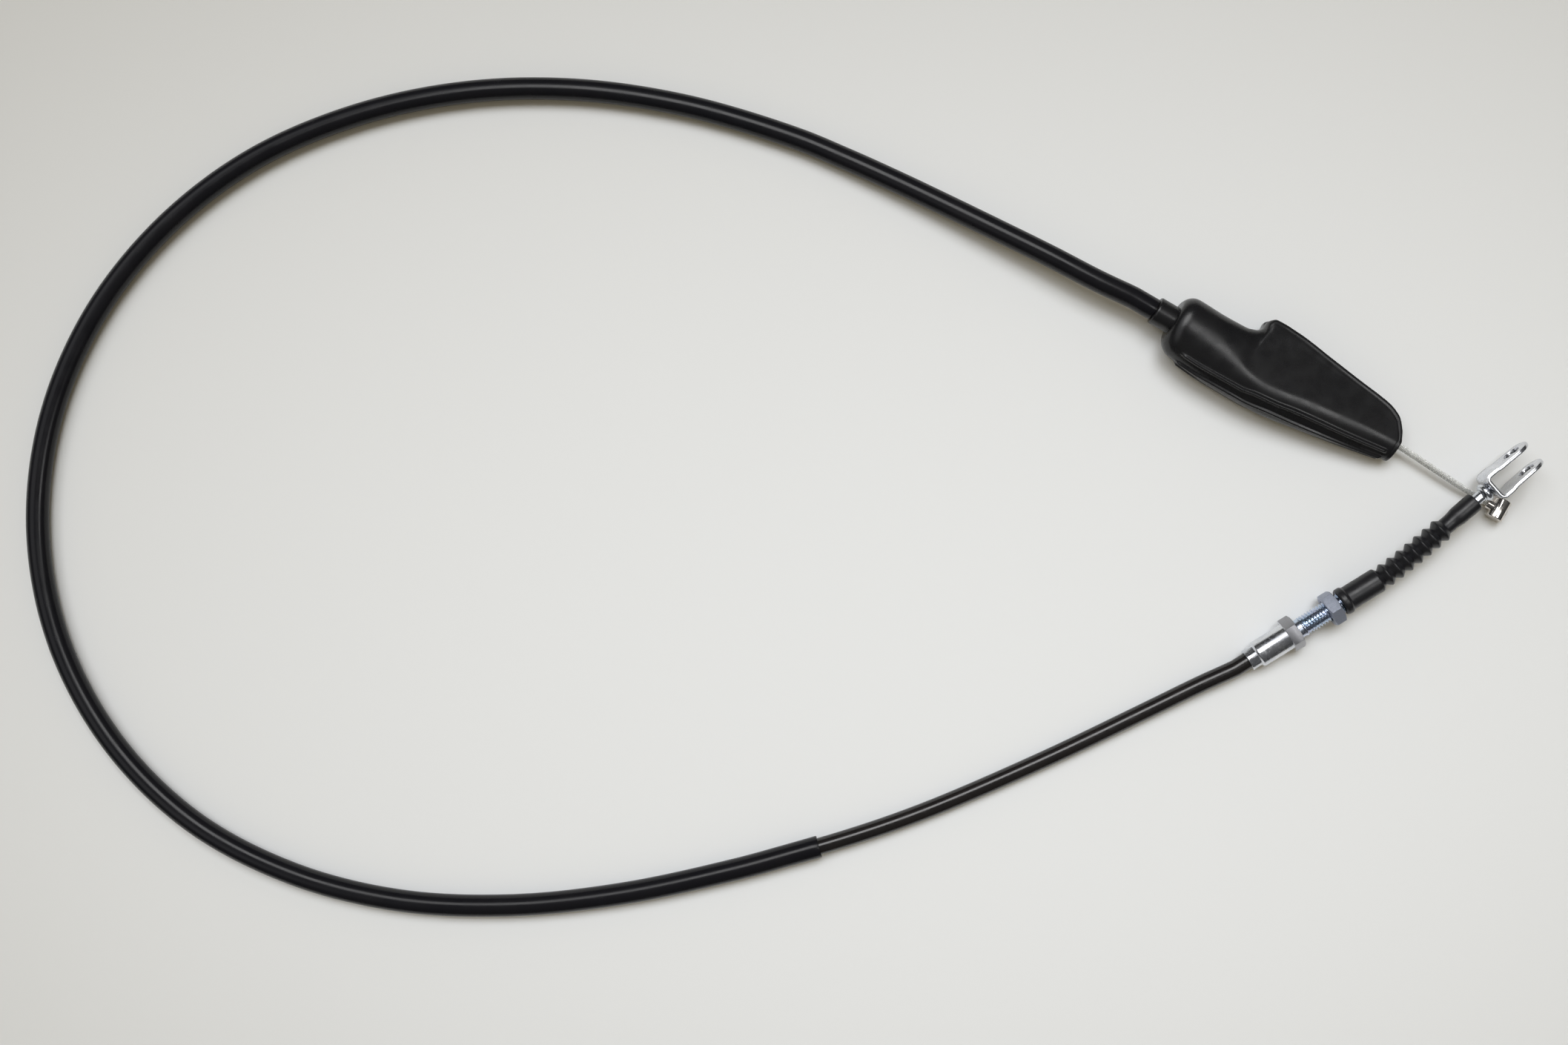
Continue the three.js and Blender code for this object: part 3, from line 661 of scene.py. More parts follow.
class Nodes:
    """A tree of shader nodes that is being laid out."""

    def __init__(self, tree: bpy.types.NodeTree) -> None:
        """Takes up a tree.

        Args:
            tree: the tree.
        """
        self.tree = tree

    def node(
        self, kind: str, inputs: dict[str | int, object] | None = None, **settings: object,
    ) -> bpy.types.Node:
        """Adds a node.

        Args:
            kind: the node's type.
            inputs: values or sockets for its inputs.
            settings: its other settings.

        Returns:
            The node.
        """
        made = self.tree.nodes.new(kind)
        for name, value in settings.items():
            setattr(made, name, value)
        for name, value in (inputs or {}).items():
            if isinstance(value, Socket):
                self.tree.links.new(value, made.inputs[name])
            else:
                made.inputs[name].default_value = value
        return made

    def work_out(self, operation: str, *values: object) -> Socket:
        """The result of a maths node on numbers and sockets."""
        return self.node("ShaderNodeMath", dict(enumerate(values)), operation=operation).outputs[0]

    def vector(self, operation: str, *values: object) -> bpy.types.Node:
        """A vector maths node on vectors and sockets."""
        return self.node("ShaderNodeVectorMath", dict(enumerate(values)), operation=operation)

    def dot(self, first: object, second: object) -> Socket:
        """The dot product of two vectors or sockets."""
        return self.vector("DOT_PRODUCT", first, second).outputs["Value"]

    def map_range(self, value: Socket, taken: Pair, given: Pair, curve: str = "SMOOTHSTEP") -> Socket:
        """Maps a range of a value to another range.

        Args:
            value: the value.
            taken: the range that is mapped.
            given: the range of the result.
            curve: the node's way from one end to the other.

        Returns:
            The result.
        """
        names = ("From Min", "From Max", "To Min", "To Max")
        inputs = {"Value": value, **dict(zip(names, (*taken, *given)))}
        return self.node("ShaderNodeMapRange", inputs, interpolation_type=curve).outputs["Result"]

    def blend(self, share: Socket, first: object, second: object) -> Socket:
        """Blends two colours, each a value with its alpha or a socket."""
        return self.node("ShaderNodeMix", {0: share, 6: first, 7: second}, data_type="RGBA").outputs[2]


class Graph(Nodes):
    """The nodes of one material, round its Principled shader."""

    def __init__(self, name: str) -> None:
        """Starts a material.

        Args:
            name: the material's name.
        """
        self.material = bpy.data.materials.new(name)
        self.material.use_nodes = True
        super().__init__(self.material.node_tree)
        self.shader = next(node for node in self.tree.nodes if node.type == "BSDF_PRINCIPLED")
        self.places = self.node("ShaderNodeTexCoord").outputs["Object"]

    def set(self, **values: object) -> None:
        """Sets the shader's own sockets, whose spaces are written as underscores."""
        for name, value in values.items():
            self.shader.inputs[name.replace("_", " ")].default_value = value

    def feed(self, name: str, socket: Socket) -> None:
        """Links a socket to an input of the shader."""
        self.tree.links.new(socket, self.shader.inputs[name])

    def speckle(self, size: float, detail: float = 3.0) -> Socket:
        """A soft random pattern on the object's own coordinates.

        Args:
            size: the pattern's grain in millimetres.
            detail: how fine its finest part is.

        Returns:
            The pattern, from 0 to 1.
        """
        inputs = {"Vector": self.places, "Scale": 1 / (size * METRES), "Detail": detail, "Roughness": 0.55}
        return self.node("ShaderNodeTexNoise", inputs).outputs["Fac"]

    def spread(self, value: Socket, low: float, high: float) -> Socket:
        """Maps a pattern's middle range, where most of it lies, to a range of its own."""
        return self.map_range(value, (0.3, 0.7), (low, high), "LINEAR")

    def relief(self, height: Socket, depth: float) -> None:
        """Gives the shader a fine relief.

        Args:
            height: the pattern of heights, from 0 to 1.
            depth: the height of 1 in millimetres.
        """
        made = self.node("ShaderNodeBump", {"Height": height, "Distance": depth * METRES, "Strength": 1.0})
        self.feed("Normal", made.outputs["Normal"])


@dataclass(frozen=True)
class Finish:
    """A surface finish, mottled in colour and gloss, with a fine grain.

    Args:
        slot: the record's slot; not used.
        colour: the main colour.
        stain: the colour that it drifts to.
        stain_size: the size of the stains in millimetres.
        gloss: the least and most roughness.
        grain_size: the size of the grain in millimetres.
        grain_depth: the depth of the grain in millimetres.
        metallic: 1 for bare metal.
        specular: how much a plastic reflects, 0.5 being usual.
    """

    slot: Slot
    colour: Colour
    stain: Colour
    stain_size: float
    gloss: Pair
    grain_size: float
    grain_depth: float
    metallic: float = 0.0
    specular: float = 0.5

    GLOSS_STAIN = 0.37

    def heights(self, graph: Graph) -> Socket:
        """The pattern of the finish's relief."""
        return graph.speckle(self.grain_size)

    def colours(self, graph: Graph) -> Socket:
        """The pattern of the finish's colour."""
        share = graph.spread(graph.speckle(self.stain_size, 4.0), 0, 1)
        return graph.blend(share, (*self.colour, 1), (*self.stain, 1))

    def roughness(self, graph: Graph) -> Socket:
        """The pattern of the finish's roughness."""
        return graph.spread(graph.speckle(self.stain_size * self.GLOSS_STAIN), *self.gloss)

    def material(self, name: str) -> bpy.types.Material:
        """Builds the material.

        Args:
            name: the material's name.

        Returns:
            The material.
        """
        graph = Graph(name)
        graph.set(Metallic=self.metallic, Specular_IOR_Level=self.specular)
        graph.feed("Base Color", self.colours(graph))
        graph.feed("Roughness", self.roughness(graph))
        graph.relief(self.heights(graph), self.grain_depth)
        return graph.material


@dataclass(frozen=True)
class RolledStretch:
    """A stretch of rolled hexagon, duller than what the lathe has cut.

    Args:
        start: where it starts along the piece's axis, in millimetres.
        end: where it ends.
        colour: its colour.
        gloss: its least and most roughness.
        stain_size: the size of its stains in millimetres.
    """

    start: float
    end: float
    colour: Colour = (0.4, 0.4, 0.42)
    gloss: Pair = (0.34, 0.48)
    stain_size: float = 0.5


@dataclass(frozen=True)
class TurnedMetal(Finish):
    """Metal with the fine rings of a lathe round an axis.

    Args:
        axis: the direction of the axis on the bench.
        origin: where the piece's frame starts along that direction, in millimetres.
        rolled: the stretch that is still as it was rolled, if there is one.
        ring_size: the width of a ring in millimetres.
        ring_share: how strong the rings are beside the grain.
    """

    axis: tuple[float, float, float] = (1.0, 0.0, 0.0)
    origin: float = 0.0
    rolled: RolledStretch | None = None
    ring_size: float = 0.16
    ring_share: float = 0.8

    def along(self, graph: Graph) -> Socket:
        """The distance along the axis, in metres."""
        return graph.dot(graph.places, self.axis)

    def is_rolled(self, graph: Graph) -> Socket:
        """1 on the rolled stretch and 0 elsewhere."""
        low, high = ((self.origin + place) * METRES for place in (self.rolled.start, self.rolled.end))
        return graph.work_out("COMPARE", self.along(graph), (low + high) / 2, (high - low) / 2)

    def colours(self, graph: Graph) -> Socket:
        """The plating's colours, duller on the rolled stretch.

        Args:
            graph: the nodes of the finish.

        Returns:
            The colour.
        """
        plated = super().colours(graph)
        if not self.rolled:
            return plated
        return graph.blend(self.is_rolled(graph), plated, (*self.rolled.colour, 1))

    def roughness(self, graph: Graph) -> Socket:
        """The plating's roughness, higher on the rolled stretch.

        Args:
            graph: the nodes of the finish.

        Returns:
            The roughness.
        """
        plated = super().roughness(graph)
        if not self.rolled:
            return plated
        rough = graph.spread(graph.speckle(self.rolled.stain_size), *self.rolled.gloss)
        return graph.node("ShaderNodeMix", {0: self.is_rolled(graph), 2: plated, 3: rough}).outputs[0]

    def heights(self, graph: Graph) -> Socket:
        """The grain with rings across the axis."""
        inputs = {"W": self.along(graph), "Scale": 1 / (self.ring_size * METRES), "Detail": 2.0}
        rings = graph.node("ShaderNodeTexNoise", inputs, noise_dimensions="1D").outputs["Fac"]
        return graph.work_out("MULTIPLY_ADD", rings, self.ring_share, graph.speckle(self.grain_size))


@dataclass(frozen=True)
class Finishes:
    """The finishes of the cable's pieces."""

    sleeve: Finish = Finish(
        Slot.SLEEVE_VINYL, (0.0055, 0.0055, 0.0072), (0.0075, 0.0070, 0.0085), 22.0, (0.19, 0.28), 1.6, 0.006,
        specular=0.3,
    )
    conduit: Finish = Finish(
        Slot.JACKET_PLASTIC, (0.0085, 0.0072, 0.0070), (0.0120, 0.0098, 0.0090), 9.0, (0.15, 0.25), 0.55,
        0.012,
        specular=0.62,
    )
    winding: Finish = Finish(
        Slot.WINDING_STEEL, (0.5, 0.51, 0.53), (0.4, 0.4, 0.41), 3.0, (0.3, 0.5), 0.3, 0.01, metallic=1.0,
    )
    liner: Finish = Finish(
        Slot.LINER_PLASTIC, (0.75, 0.75, 0.72), (0.68, 0.68, 0.63), 8.0, (0.4, 0.55), 0.4, 0.004,
    )
    strand: Finish = Finish(
        Slot.STRAND_STEEL, (0.86, 0.86, 0.83), (0.72, 0.72, 0.69), 2.2, (0.2, 0.34), 0.12, 0.006,
        metallic=0.72,
    )
    boot: Finish = Finish(
        Slot.BOOT_RUBBER, (0.0062, 0.0062, 0.0070), (0.0088, 0.0084, 0.0088), 16.0, (0.23, 0.33), 0.22, 0.009,
    )
    bellows: Finish = Finish(
        Slot.BELLOWS_RUBBER, (0.0088, 0.0088, 0.0106), (0.013, 0.0125, 0.0138), 7.0, (0.28, 0.38), 0.2, 0.008,
    )
    nickel: Finish = Finish(
        Slot.NICKEL, (0.74, 0.71, 0.67), (0.66, 0.6, 0.54), 2.6, (0.06, 0.14), 0.35, 0.003, metallic=1.0,
    )
    solder: Finish = Finish(
        Slot.SOLDER, (0.66, 0.66, 0.65), (0.52, 0.52, 0.5), 0.9, (0.22, 0.4), 0.5, 0.03, metallic=1.0,
    )
    bright_zinc: Finish = Finish(
        Slot.BRIGHT_ZINC, (0.76, 0.77, 0.79), (0.62, 0.63, 0.67), 4.0, (0.16, 0.3), 0.3, 0.008, metallic=1.0,
    )

    def turned(
        self, slot: Slot, frame: AxisFrame, colour: Colour, stain: Colour,
        rolled: RolledStretch | None = None,
    ) -> TurnedMetal:
        """A plated turned finish.

        Args:
            slot: the record's slot.
            frame: the frame of the piece's axis.
            colour: the main colour.
            stain: the colour that it drifts to.
            rolled: the stretch that is still as it was rolled, if there is one.

        Returns:
            The finish.
        """
        axis = frame.direction
        return TurnedMetal(
            slot, colour, stain, 3.4, (0.15, 0.3), 0.28, 0.006, metallic=1.0, axis=tuple(axis),
            origin=axis.dot(Vector(frame.origin)), rolled=rolled,
        )


FINISHES = Finishes()


# ---------------------------------------------------------------- finished pieces


def put_in_scene(
    shape: BMesh, name: str, frame: AxisFrame | None, finish: Finish, body: Body | None, stands_for: str,
    crease: float = 38.0,
) -> bpy.types.Object:
    """Makes a finished piece from a shape in millimetres.

    Args:
        shape: the shape, which is freed.
        name: the piece's name.
        frame: the frame that the shape is in, or none for the bench's own.
        finish: its finish.
        body: the body that it rides on, or none where it bends between two.
        stands_for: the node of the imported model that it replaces.
        crease: the least angle of a sharp edge, in degrees.

    Returns:
        The piece.
    """
    place = frame.to_bench if frame else Matrix.Identity(4)
    shape.transform(Matrix.Scale(METRES, 4) @ place)
    shape.normal_update()
    mesh = to_mesh(shape, name)
    mesh.polygons.foreach_set("use_smooth", [True] * len(mesh.polygons))
    mesh.set_sharp_from_angle(angle=math.radians(crease))
    mesh.materials.append(finish.material(f"{name}_finish"))
    piece = add_object(name, mesh)
    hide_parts(stands_for)
    if body:
        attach(piece, body.value)
    LOG.info("%s: %d faces, for %s", name, len(mesh.polygons), stands_for)
    return piece


# ---------------------------------------------------------------- casing


@dataclass
class Casing:
    """The conduit with its sleeve, and the strand inside it.

    Args:
        frames: the frames of the cable's ends.
    """

    frames: EndFrames
    sleeve_radius: float = 4.25
    sleeve_length: float = 916.0
    jacket_radius: float = 3.25
    jacket_bore: float = 2.75
    ring_step: float = 3.0
    strand_radius: float = 1.2
    wires: int = 12
    sides_per_wire: int = 6
    lay: float = 19.5
    lever_straight: float = 10.0
    adjuster_straight: float = 6.0
    conduit_start: float = 16.7
    wire_start: float = 8.0
    tail_start: float = -6.3
    collar_gap: float = 0.3
    bow: float = 2.1
    bow_from: float = 33.4
    bow_at: float = 95.0
    bow_to: float = 149.0
    strand_end: float = 156.2
    socket_end: float = -3.3
    follows_stem_from: float = -24.0

    ROUTE = (
        (-92.1, 77.9, 10.7), (-110.6, 87.7, 9.8), (-129.6, 97.4, 8.3), (-149, 107.2, 6.7),
        (-168.6, 116.8, 5.5),
        (-188.6, 126, 4.6), (-208.9, 134.4, 4.18), (-250.7, 146.7, 4.18), (-293.6, 152.8, 4.18),
        (-336.6, 151.6, 4.18), (-379, 142.4, 4.18), (-418.9, 124.9, 4.18), (-453, 98.3, 4.18),
        (-479.3, 64.5, 4.18), (-495.8, 24.7, 4.18), (-500.4, -17.9, 4.18), (-492.4, -60.1, 4.18),
        (-472, -98.5, 4.18), (-441.3, -129.3, 4.18), (-403.3, -149.5, 4.18), (-361.7, -160.2, 4.18),
        (-317.9, -162.2, 4.18), (-274.2, -157.6, 4.18), (-231.6, -148.5, 4.18), (-210.6, -142.8, 4.18),
        (-189.9, -136.8, 4.12), (-169.4, -130.1, 3.6), (-149.2, -122.4, 3.14), (-109.6, -105, 3.14),
        (-70.6, -86.2, 3.36), (-51.4, -76.7, 4.12),
    )

    def conduit_line(self) -> Route:
        """The conduit's middle line, from inside the boot to inside the adjuster.

        Returns:
            The route, in millimetres on the bench.
        """
        lever, adjuster = self.frames.lever, self.frames.adjuster
        free = [
            lever.along(-self.lever_straight), *map(Vector, self.ROUTE),
            adjuster.along(-self.adjuster_straight),
        ]
        return Route([
            lever.along(self.conduit_start), lever.along(0), *smooth_line(free), adjuster.along(0),
            adjuster.along(self.frames.conduit_depth),
        ])

    def bent_line(self) -> Route:
        """The line inside the bellows, from the screw to the stem's socket."""
        frames = self.frames
        start = frames.adjuster.along(frames.conduit_depth)
        return Route([start, *frames.bend_arc(16), frames.stem.along(self.socket_end)])

    def bowed_line(self) -> Route:
        """The lever end's bare cable in the lever's frame: straight in the conduit, then slightly bowed.

        Returns:
            The route.
        """
        points = [Vector((self.tail_start, 0, 0))]
        for start, end, first, last in (
            (self.bow_from, self.bow_at, 0.0, self.bow), (self.bow_at, self.bow_to, self.bow, 0.0),
        ):
            for share in (i / 24 for i in range(25)):
                height = mix(first, last, (1 - math.cos(math.pi * share)) / 2)
                points.append(Vector((mix(start, end, share), height, 0)))
        middle = len(points) // 2 + 1
        return Route(points[:middle] + points[middle + 1:] + [Vector((self.strand_end, 0, 0))])

    def strand(
        self, name: str, route: Route, step: float, body: Body | None, stands_for: str = "inner_wire",
        start: float = 0.0, frame: AxisFrame | None = None,
    ) -> bpy.types.Object:
        """Builds a twisted strand along a route.

        Args:
            name: the piece's name.
            route: the line that it follows to its end.
            step: the distance between its rings.
            body: the body that it rides on, or none where it bends between two.
            stands_for: the node that it replaces.
            start: where it starts along the route.
            frame: the frame that the route is in, or none for the bench's own.

        Returns:
            The piece.
        """
        wire = self.strand_radius / 5
        out = self.strand_radius - wire
        lobe = math.tau / self.wires

        def outline(_: float, angle: float) -> float:
            """How far the wires' surface lies off the strand's radius at an angle, before the twist."""
            off = (angle + lobe / 2) % lobe - lobe / 2
            edge = math.sqrt(max(wire**2 - (out * math.sin(off)) ** 2, 0))
            return out * math.cos(off) + edge - self.strand_radius

        length = route.length - start
        count = round(length / step)
        rings = [Ring(start + length * i / count, self.strand_radius, True) for i in range(count + 1)]
        closed = [Ring(start, 0.0), *rings, Ring(route.length, 0.0)]
        shape = sheath(route, closed, self.wires * self.sides_per_wire, outline, math.tau / self.lay)
        return put_in_scene(shape, name, frame, FINISHES.strand, body, stands_for)

    def build(self) -> list[bpy.types.Object]:
        """Builds the sleeve, the conduit and the strands.

        Returns:
            The pieces.
        """
        frames = self.frames
        line = self.conduit_line()
        collar = self.conduit_start
        cut = collar + self.lever_straight + self.sleeve_length
        step = self.ring_step
        sleeve_rings = pipe_rings(
            collar + self.collar_gap, cut, self.sleeve_radius, self.jacket_radius + 0.05, step, 0.22)
        sleeve = put_in_scene(
            sheath(line, sleeve_rings, 40), "sleeve_tube", None, FINISHES.sleeve, Body.CASING, "outer_sleeve")
        jacket_rings = pipe_rings(0.0, line.length, self.jacket_radius, self.jacket_bore, step, 0.15)
        conduit = put_in_scene(
            sheath(line, jacket_rings, 32), "conduit_hose", None, FINISHES.conduit, Body.CASING,
            "conduit_jacket")
        count = round(line.length / 4)
        frames.lever.along(0) * METRES
        [line.at(line.length * i / count) * METRES for i in range(count + 1)]
        LOG.info("conduit: %.1f mm, sleeve to %.1f mm", line.length, cut)
        hidden = self.strand("inner_strand", line, 2.0, Body.CASING, start=self.wire_start)
        end_strand = self.strand("end_strand", self.bent_line(), 0.8, None)
        frames.adjuster.along(frames.cuff_end_at) * METRES
        frames.stem.along(self.follows_stem_from) * METRES
        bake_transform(end_strand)
        lever_strand = self.strand(
            "lever_strand", self.bowed_line(), 0.65, Body.LEVER_END, "wire_lever_end", frame=frames.lever)
        return [sleeve, conduit, hidden, end_strand, lever_strand]


# ---------------------------------------------------------------- lever boot


@dataclass
class LeverBoot:
    """The moulded rubber hood over the hand lever's perch.

    Args:
        frames: the frames of the cable's ends.
    """

    frames: EndFrames
    wall: float = 1.8
    collar_radius: float = 5.4
    collar_length: float = 7.7
    collar_bore: float = 3.5
    collar_like: float = 13.0
    round_end: float = 5.2
    end: float = 107.1
    mouth_from: float = 40.0
    heel: float = 8.0
    panel_slope: float = 0.32
    rib_height: float = 0.9
    rib_half_width: float = 0.75
    belly_power: float = 1.02
    bulb_power: float = 0.86
    upper_steps: int = 36
    crowding: float = 1.45

    top = Profile(
        (7.7, 11.4), (13, 11.6), (24, 11.3), (33, 11.4), (37.5, 12.6), (39.6, 14.6), (40.6, 17.2), (43, 19.3),
        (53, 18.9), (67, 17.1), (81, 15.3), (95, 13.5), (101, 11.2), (105, 6.8), (107.1, 2.6),
    )
    bottom = Profile(
        (7.7, -11.2), (13, -12.7), (24, -14.2), (33, -14.9), (43, -15.0), (53, -14.8), (67, -13.0),
        (81, -10.6),
        (95, -7.8), (101, -6.6), (107.1, -5.6),
    )
    half = Profile((7.7, 9.7), (24, 9.1), (43, 8.3), (53, 7.9), (67, 7.3), (81, 6.7), (95, 6.0), (107.1, 5.4))
    edge = Profile(
        (7.7, 9.7), (24, 8.7), (33, 7.9), (40.6, 6.5), (53, 5.9), (67, 5.6), (81, 5.3), (95, 5.0),
        (107.1, 5.2),
    )
    ridge = Profile(
        (7.7, 1.6), (18, 1.3), (26, 0.5), (34, -1.4), (42, -3.9), (49, -4.6), (57, -3.7), (67, -1.9),
        (81, -0.2),
        (95, 1.3), (107.1, 1.9),
    )
    upper_rib = Profile(
        (16, -10.3), (26, -10.8), (42, -10.8), (48, -10.0), (56.7, -9.2), (65, -7.9), (85, -5.7),
        (107.1, -2.8),
    )
    lower_rib = Profile((16, -13.0), (28.4, -13.8), (45, -13.8), (56.7, -12.7), (85, -9.0), (107.1, -5.2))

    def stations(self) -> list[float]:
        """The places of the boot's sections along the lever's axis.

        Returns:
            The places, in rising order.
        """
        collar = [0.0, 0.15, 0.5, 1.2, 4.0, 6.6, 7.3, 7.55, 7.7]
        bulb = [self.collar_length + self.round_end * (1 - math.cos(QUARTER * i / 10)) for i in range(1, 11)]
        rest: list[float] = []
        marks = (12.9, 36.0, 40.0, 47.0, 95.0, 104.0, self.end)
        for start, end, count in zip(marks, marks[1:], (24, 10, 18, 46, 18, 14)):
            rest += [mix(start, end, i / count) for i in range(1, count + 1)]
        return collar + bulb + rest

    def spine_angles(self, x: float) -> list[Pair]:
        """The angles of a section's lower quarter, close together at the ribs.

        Args:
            x: the section's place.

        Returns:
            Pairs of angle from the ridge and the rib's share of its full height.
        """
        ridge, bottom = self.ridge(x), self.bottom(x)
        radius = (self.half(x) + ridge - bottom) / 2
        shown = ease(x, 16.4, 17.4) * (1 - ease(x, 103.0, 104.2))
        offsets = [-1.0, -0.72, -0.5, -0.25, 0.0, 0.25, 0.5, 0.72, 1.0]
        angles: list[Pair] = []
        last = 0.0
        for rib, steps in ((self.upper_rib, 8), (self.lower_rib, 6)):
            share = min((rib(x) - ridge) / (bottom - ridge), 0.985)
            middle = math.asin(share ** (1 / self.belly_power))
            first = middle + offsets[0] / radius
            angles += [(mix(last, first, i / steps), 0.0) for i in range(1, steps)]
            for offset in offsets:
                height = max(0.0, 1 - (offset / self.rib_half_width) ** 2) ** 0.6
                angles.append((middle + offset / radius, height * shown))
            last = middle + offsets[-1] / radius
        angles += [(mix(last, QUARTER, i / 7), 0.0) for i in range(1, 8)]
        return angles

    def rim_lift(self, from_rim: float, inside: bool) -> float:
        """How far the surface stands out near the mouth's rim.

        Args:
            from_rim: the distance from the rim.
            inside: whether this is the inner surface.

        Returns:
            The height over the plain wall.
        """
        rounding = 0.45 if inside else 0.6
        drop = 0.0
        if from_rim < rounding:
            drop = rounding - math.sqrt(max(rounding**2 - (rounding - from_rim) ** 2, 0.0))
        if inside:
            return drop
        bead = 0.08 * (1 - ease(from_rim, 1.1, 1.6)) - 0.07 * math.exp(-(((from_rim - 1.7) / 0.3) ** 2))
        return bead - drop

    def section(self, x: float, inside: bool) -> list[Pair]:
        """One half of a section, from its top to its bottom, on the side of +Z.

        Args:
            x: the section's place.
            inside: whether this is the inner surface.

        Returns:
            The section's Y and Z.
        """
        inset = self.wall if inside else 0.0
        closed_end = min(max((self.collar_length + self.round_end - x) / self.round_end, 0.0), 1.0)
        swell = 0.62 + 0.38 * math.sqrt(1 - closed_end**2)
        opened = x > self.mouth_from
        half = self.half(x) * swell - inset
        edge = mix(half, self.edge(x) * swell - inset, 1 + self.panel_slope * ease(x, 30.0, 45.0))
        top = self.top(x) * swell - inset * (1 - ease(x, 36.5, 40.0))
        bottom, ridge = self.bottom(x) * swell + inset, self.ridge(x)
        rim = 0.0
        if opened:
            share = min((x - self.mouth_from) / self.heel, 1.0)
            rim = edge * math.sqrt(1 - (1 - share) ** 2)
        panelled = ease(x, 22.0, 41.0)
        shoulder = mix(0.62, 0.2, ease(x, 38.0, 58.0))
        points: list[tuple[float, float, float, float]] = []
        for i in range(self.upper_steps + 1):
            v = (i / self.upper_steps) ** self.crowding
            angle = QUARTER * v
            round_y = ridge + (top - ridge) * math.cos(angle) ** self.bulb_power
            round_z = half * math.sin(angle) ** self.bulb_power if v > 0 else 0.0
            turn = QUARTER * min(v / shoulder, 1.0)
            flat_y = top - (top - ridge) * (shoulder * (1 - math.cos(turn)) if v < shoulder else v)
            flat_z = rim + (edge - rim) * (math.sin(turn) ** 0.6 if v > 0 else 0.0)
            flat_z += (half - edge) * mix(v**0.9, ease(v, 0.3, 1.0), 0.15)
            if opened:
                round_z = max(round_z, rim)
            points.append((mix(round_y, flat_y, panelled), mix(round_z, flat_z, panelled), 0.0, 1.0))
        for angle, rib in self.spine_angles(x):
            across, up = math.sin(angle) ** self.belly_power, max(math.cos(angle), 0.0) ** self.belly_power
            lift = 0.0 if inside else self.rib_height * rib * swell
            points.append((ridge + (bottom - ridge) * across - lift * across, (half + lift) * up, across, up))
        slope = math.cos(math.atan((self.top(x + 0.4) - self.top(x - 0.4)) / 0.8))
        result = []
        for y, z, across, up in points:
            if opened:
                lift = self.rim_lift(min(self.end - x, (self.top(x) - y) * slope + 0.02), inside)
                y, z = y - lift * across, z + lift * up * (1 if z > 0.3 else 0)
            result.append((y, max(z, 0.0)))
        result[-1] = (result[-1][0], 0.0)
        if not opened or rim == 0.0:
            result[0] = (result[0][0], 0.0)
        return result

    def shift(self, x: float) -> float:
        """How far along the axis the inner surface lies behind the outer one, as a share of the wall."""
        return 1 - ease(x, 13.0, 22.0) + ease(x, 33.0, 40.0) * (1 - ease(x, 40.0, 50.0))

    def surface(self, inside: bool) -> list[list[Vector]]:
        """The corners of the outer or the inner surface.

        Args:
            inside: whether this is the inner surface.

        Returns:
            The rows of corners.
        """
        rows = []
        collar_radii = {0.0: 4.95, 0.15: 5.25}
        for x in self.stations():
            on_collar = x <= self.collar_length
            side = self.section(self.collar_like if on_collar else x, inside)
            if on_collar:
                radius = self.collar_bore if inside else collar_radii.get(x, self.collar_radius)
                side = [tuple(Vector(at).normalized() * radius) for at in side]
            along = x + self.wall * self.shift(x) if inside else x
            if on_collar and inside:
                along = x * (self.collar_length + self.wall) / self.collar_length
            rows.append([Vector((along, y, z)) for y, z in side + [(y, -z) for y, z in side[-2::-1]]])
        return rows

    def hook(self, at: Vector) -> Vector:
        """Leans the ear's front edge over towards the collar."""
        lean = 1.1 * ease(at.y, 13.5, 18.0) * (1 - ease(at.x, 40.5, 48.0)) * ease(at.x, 36.0, 40.0)
        return Vector((at.x - lean, at.y, at.z))

    def build(self) -> bpy.types.Object:
        """Builds the boot.

        Returns:
            The piece.
        """
        shape = bmesh.new()
        for inside in (False, True):
            rows = self.surface(inside)
            wrap_grid(
                len(rows) - 1, len(rows[0]) - 1, lambda row, column: self.hook(rows[row][column]), shape)
        borders = [edge for edge in shape.edges if edge.is_boundary]
        for at_collar in (True, False):
            loop = [edge for edge in borders if (edge.verts[0].co.x < 1.0) == at_collar]
            bmesh.ops.bridge_loops(shape, edges=loop)
        bmesh.ops.recalc_face_normals(shape, faces=shape.faces)
        return put_in_scene(
            shape, "lever_hood", self.frames.lever, FINISHES.boot, Body.CASING, "lever_boot", 50.0)


# ---------------------------------------------------------------- nipple


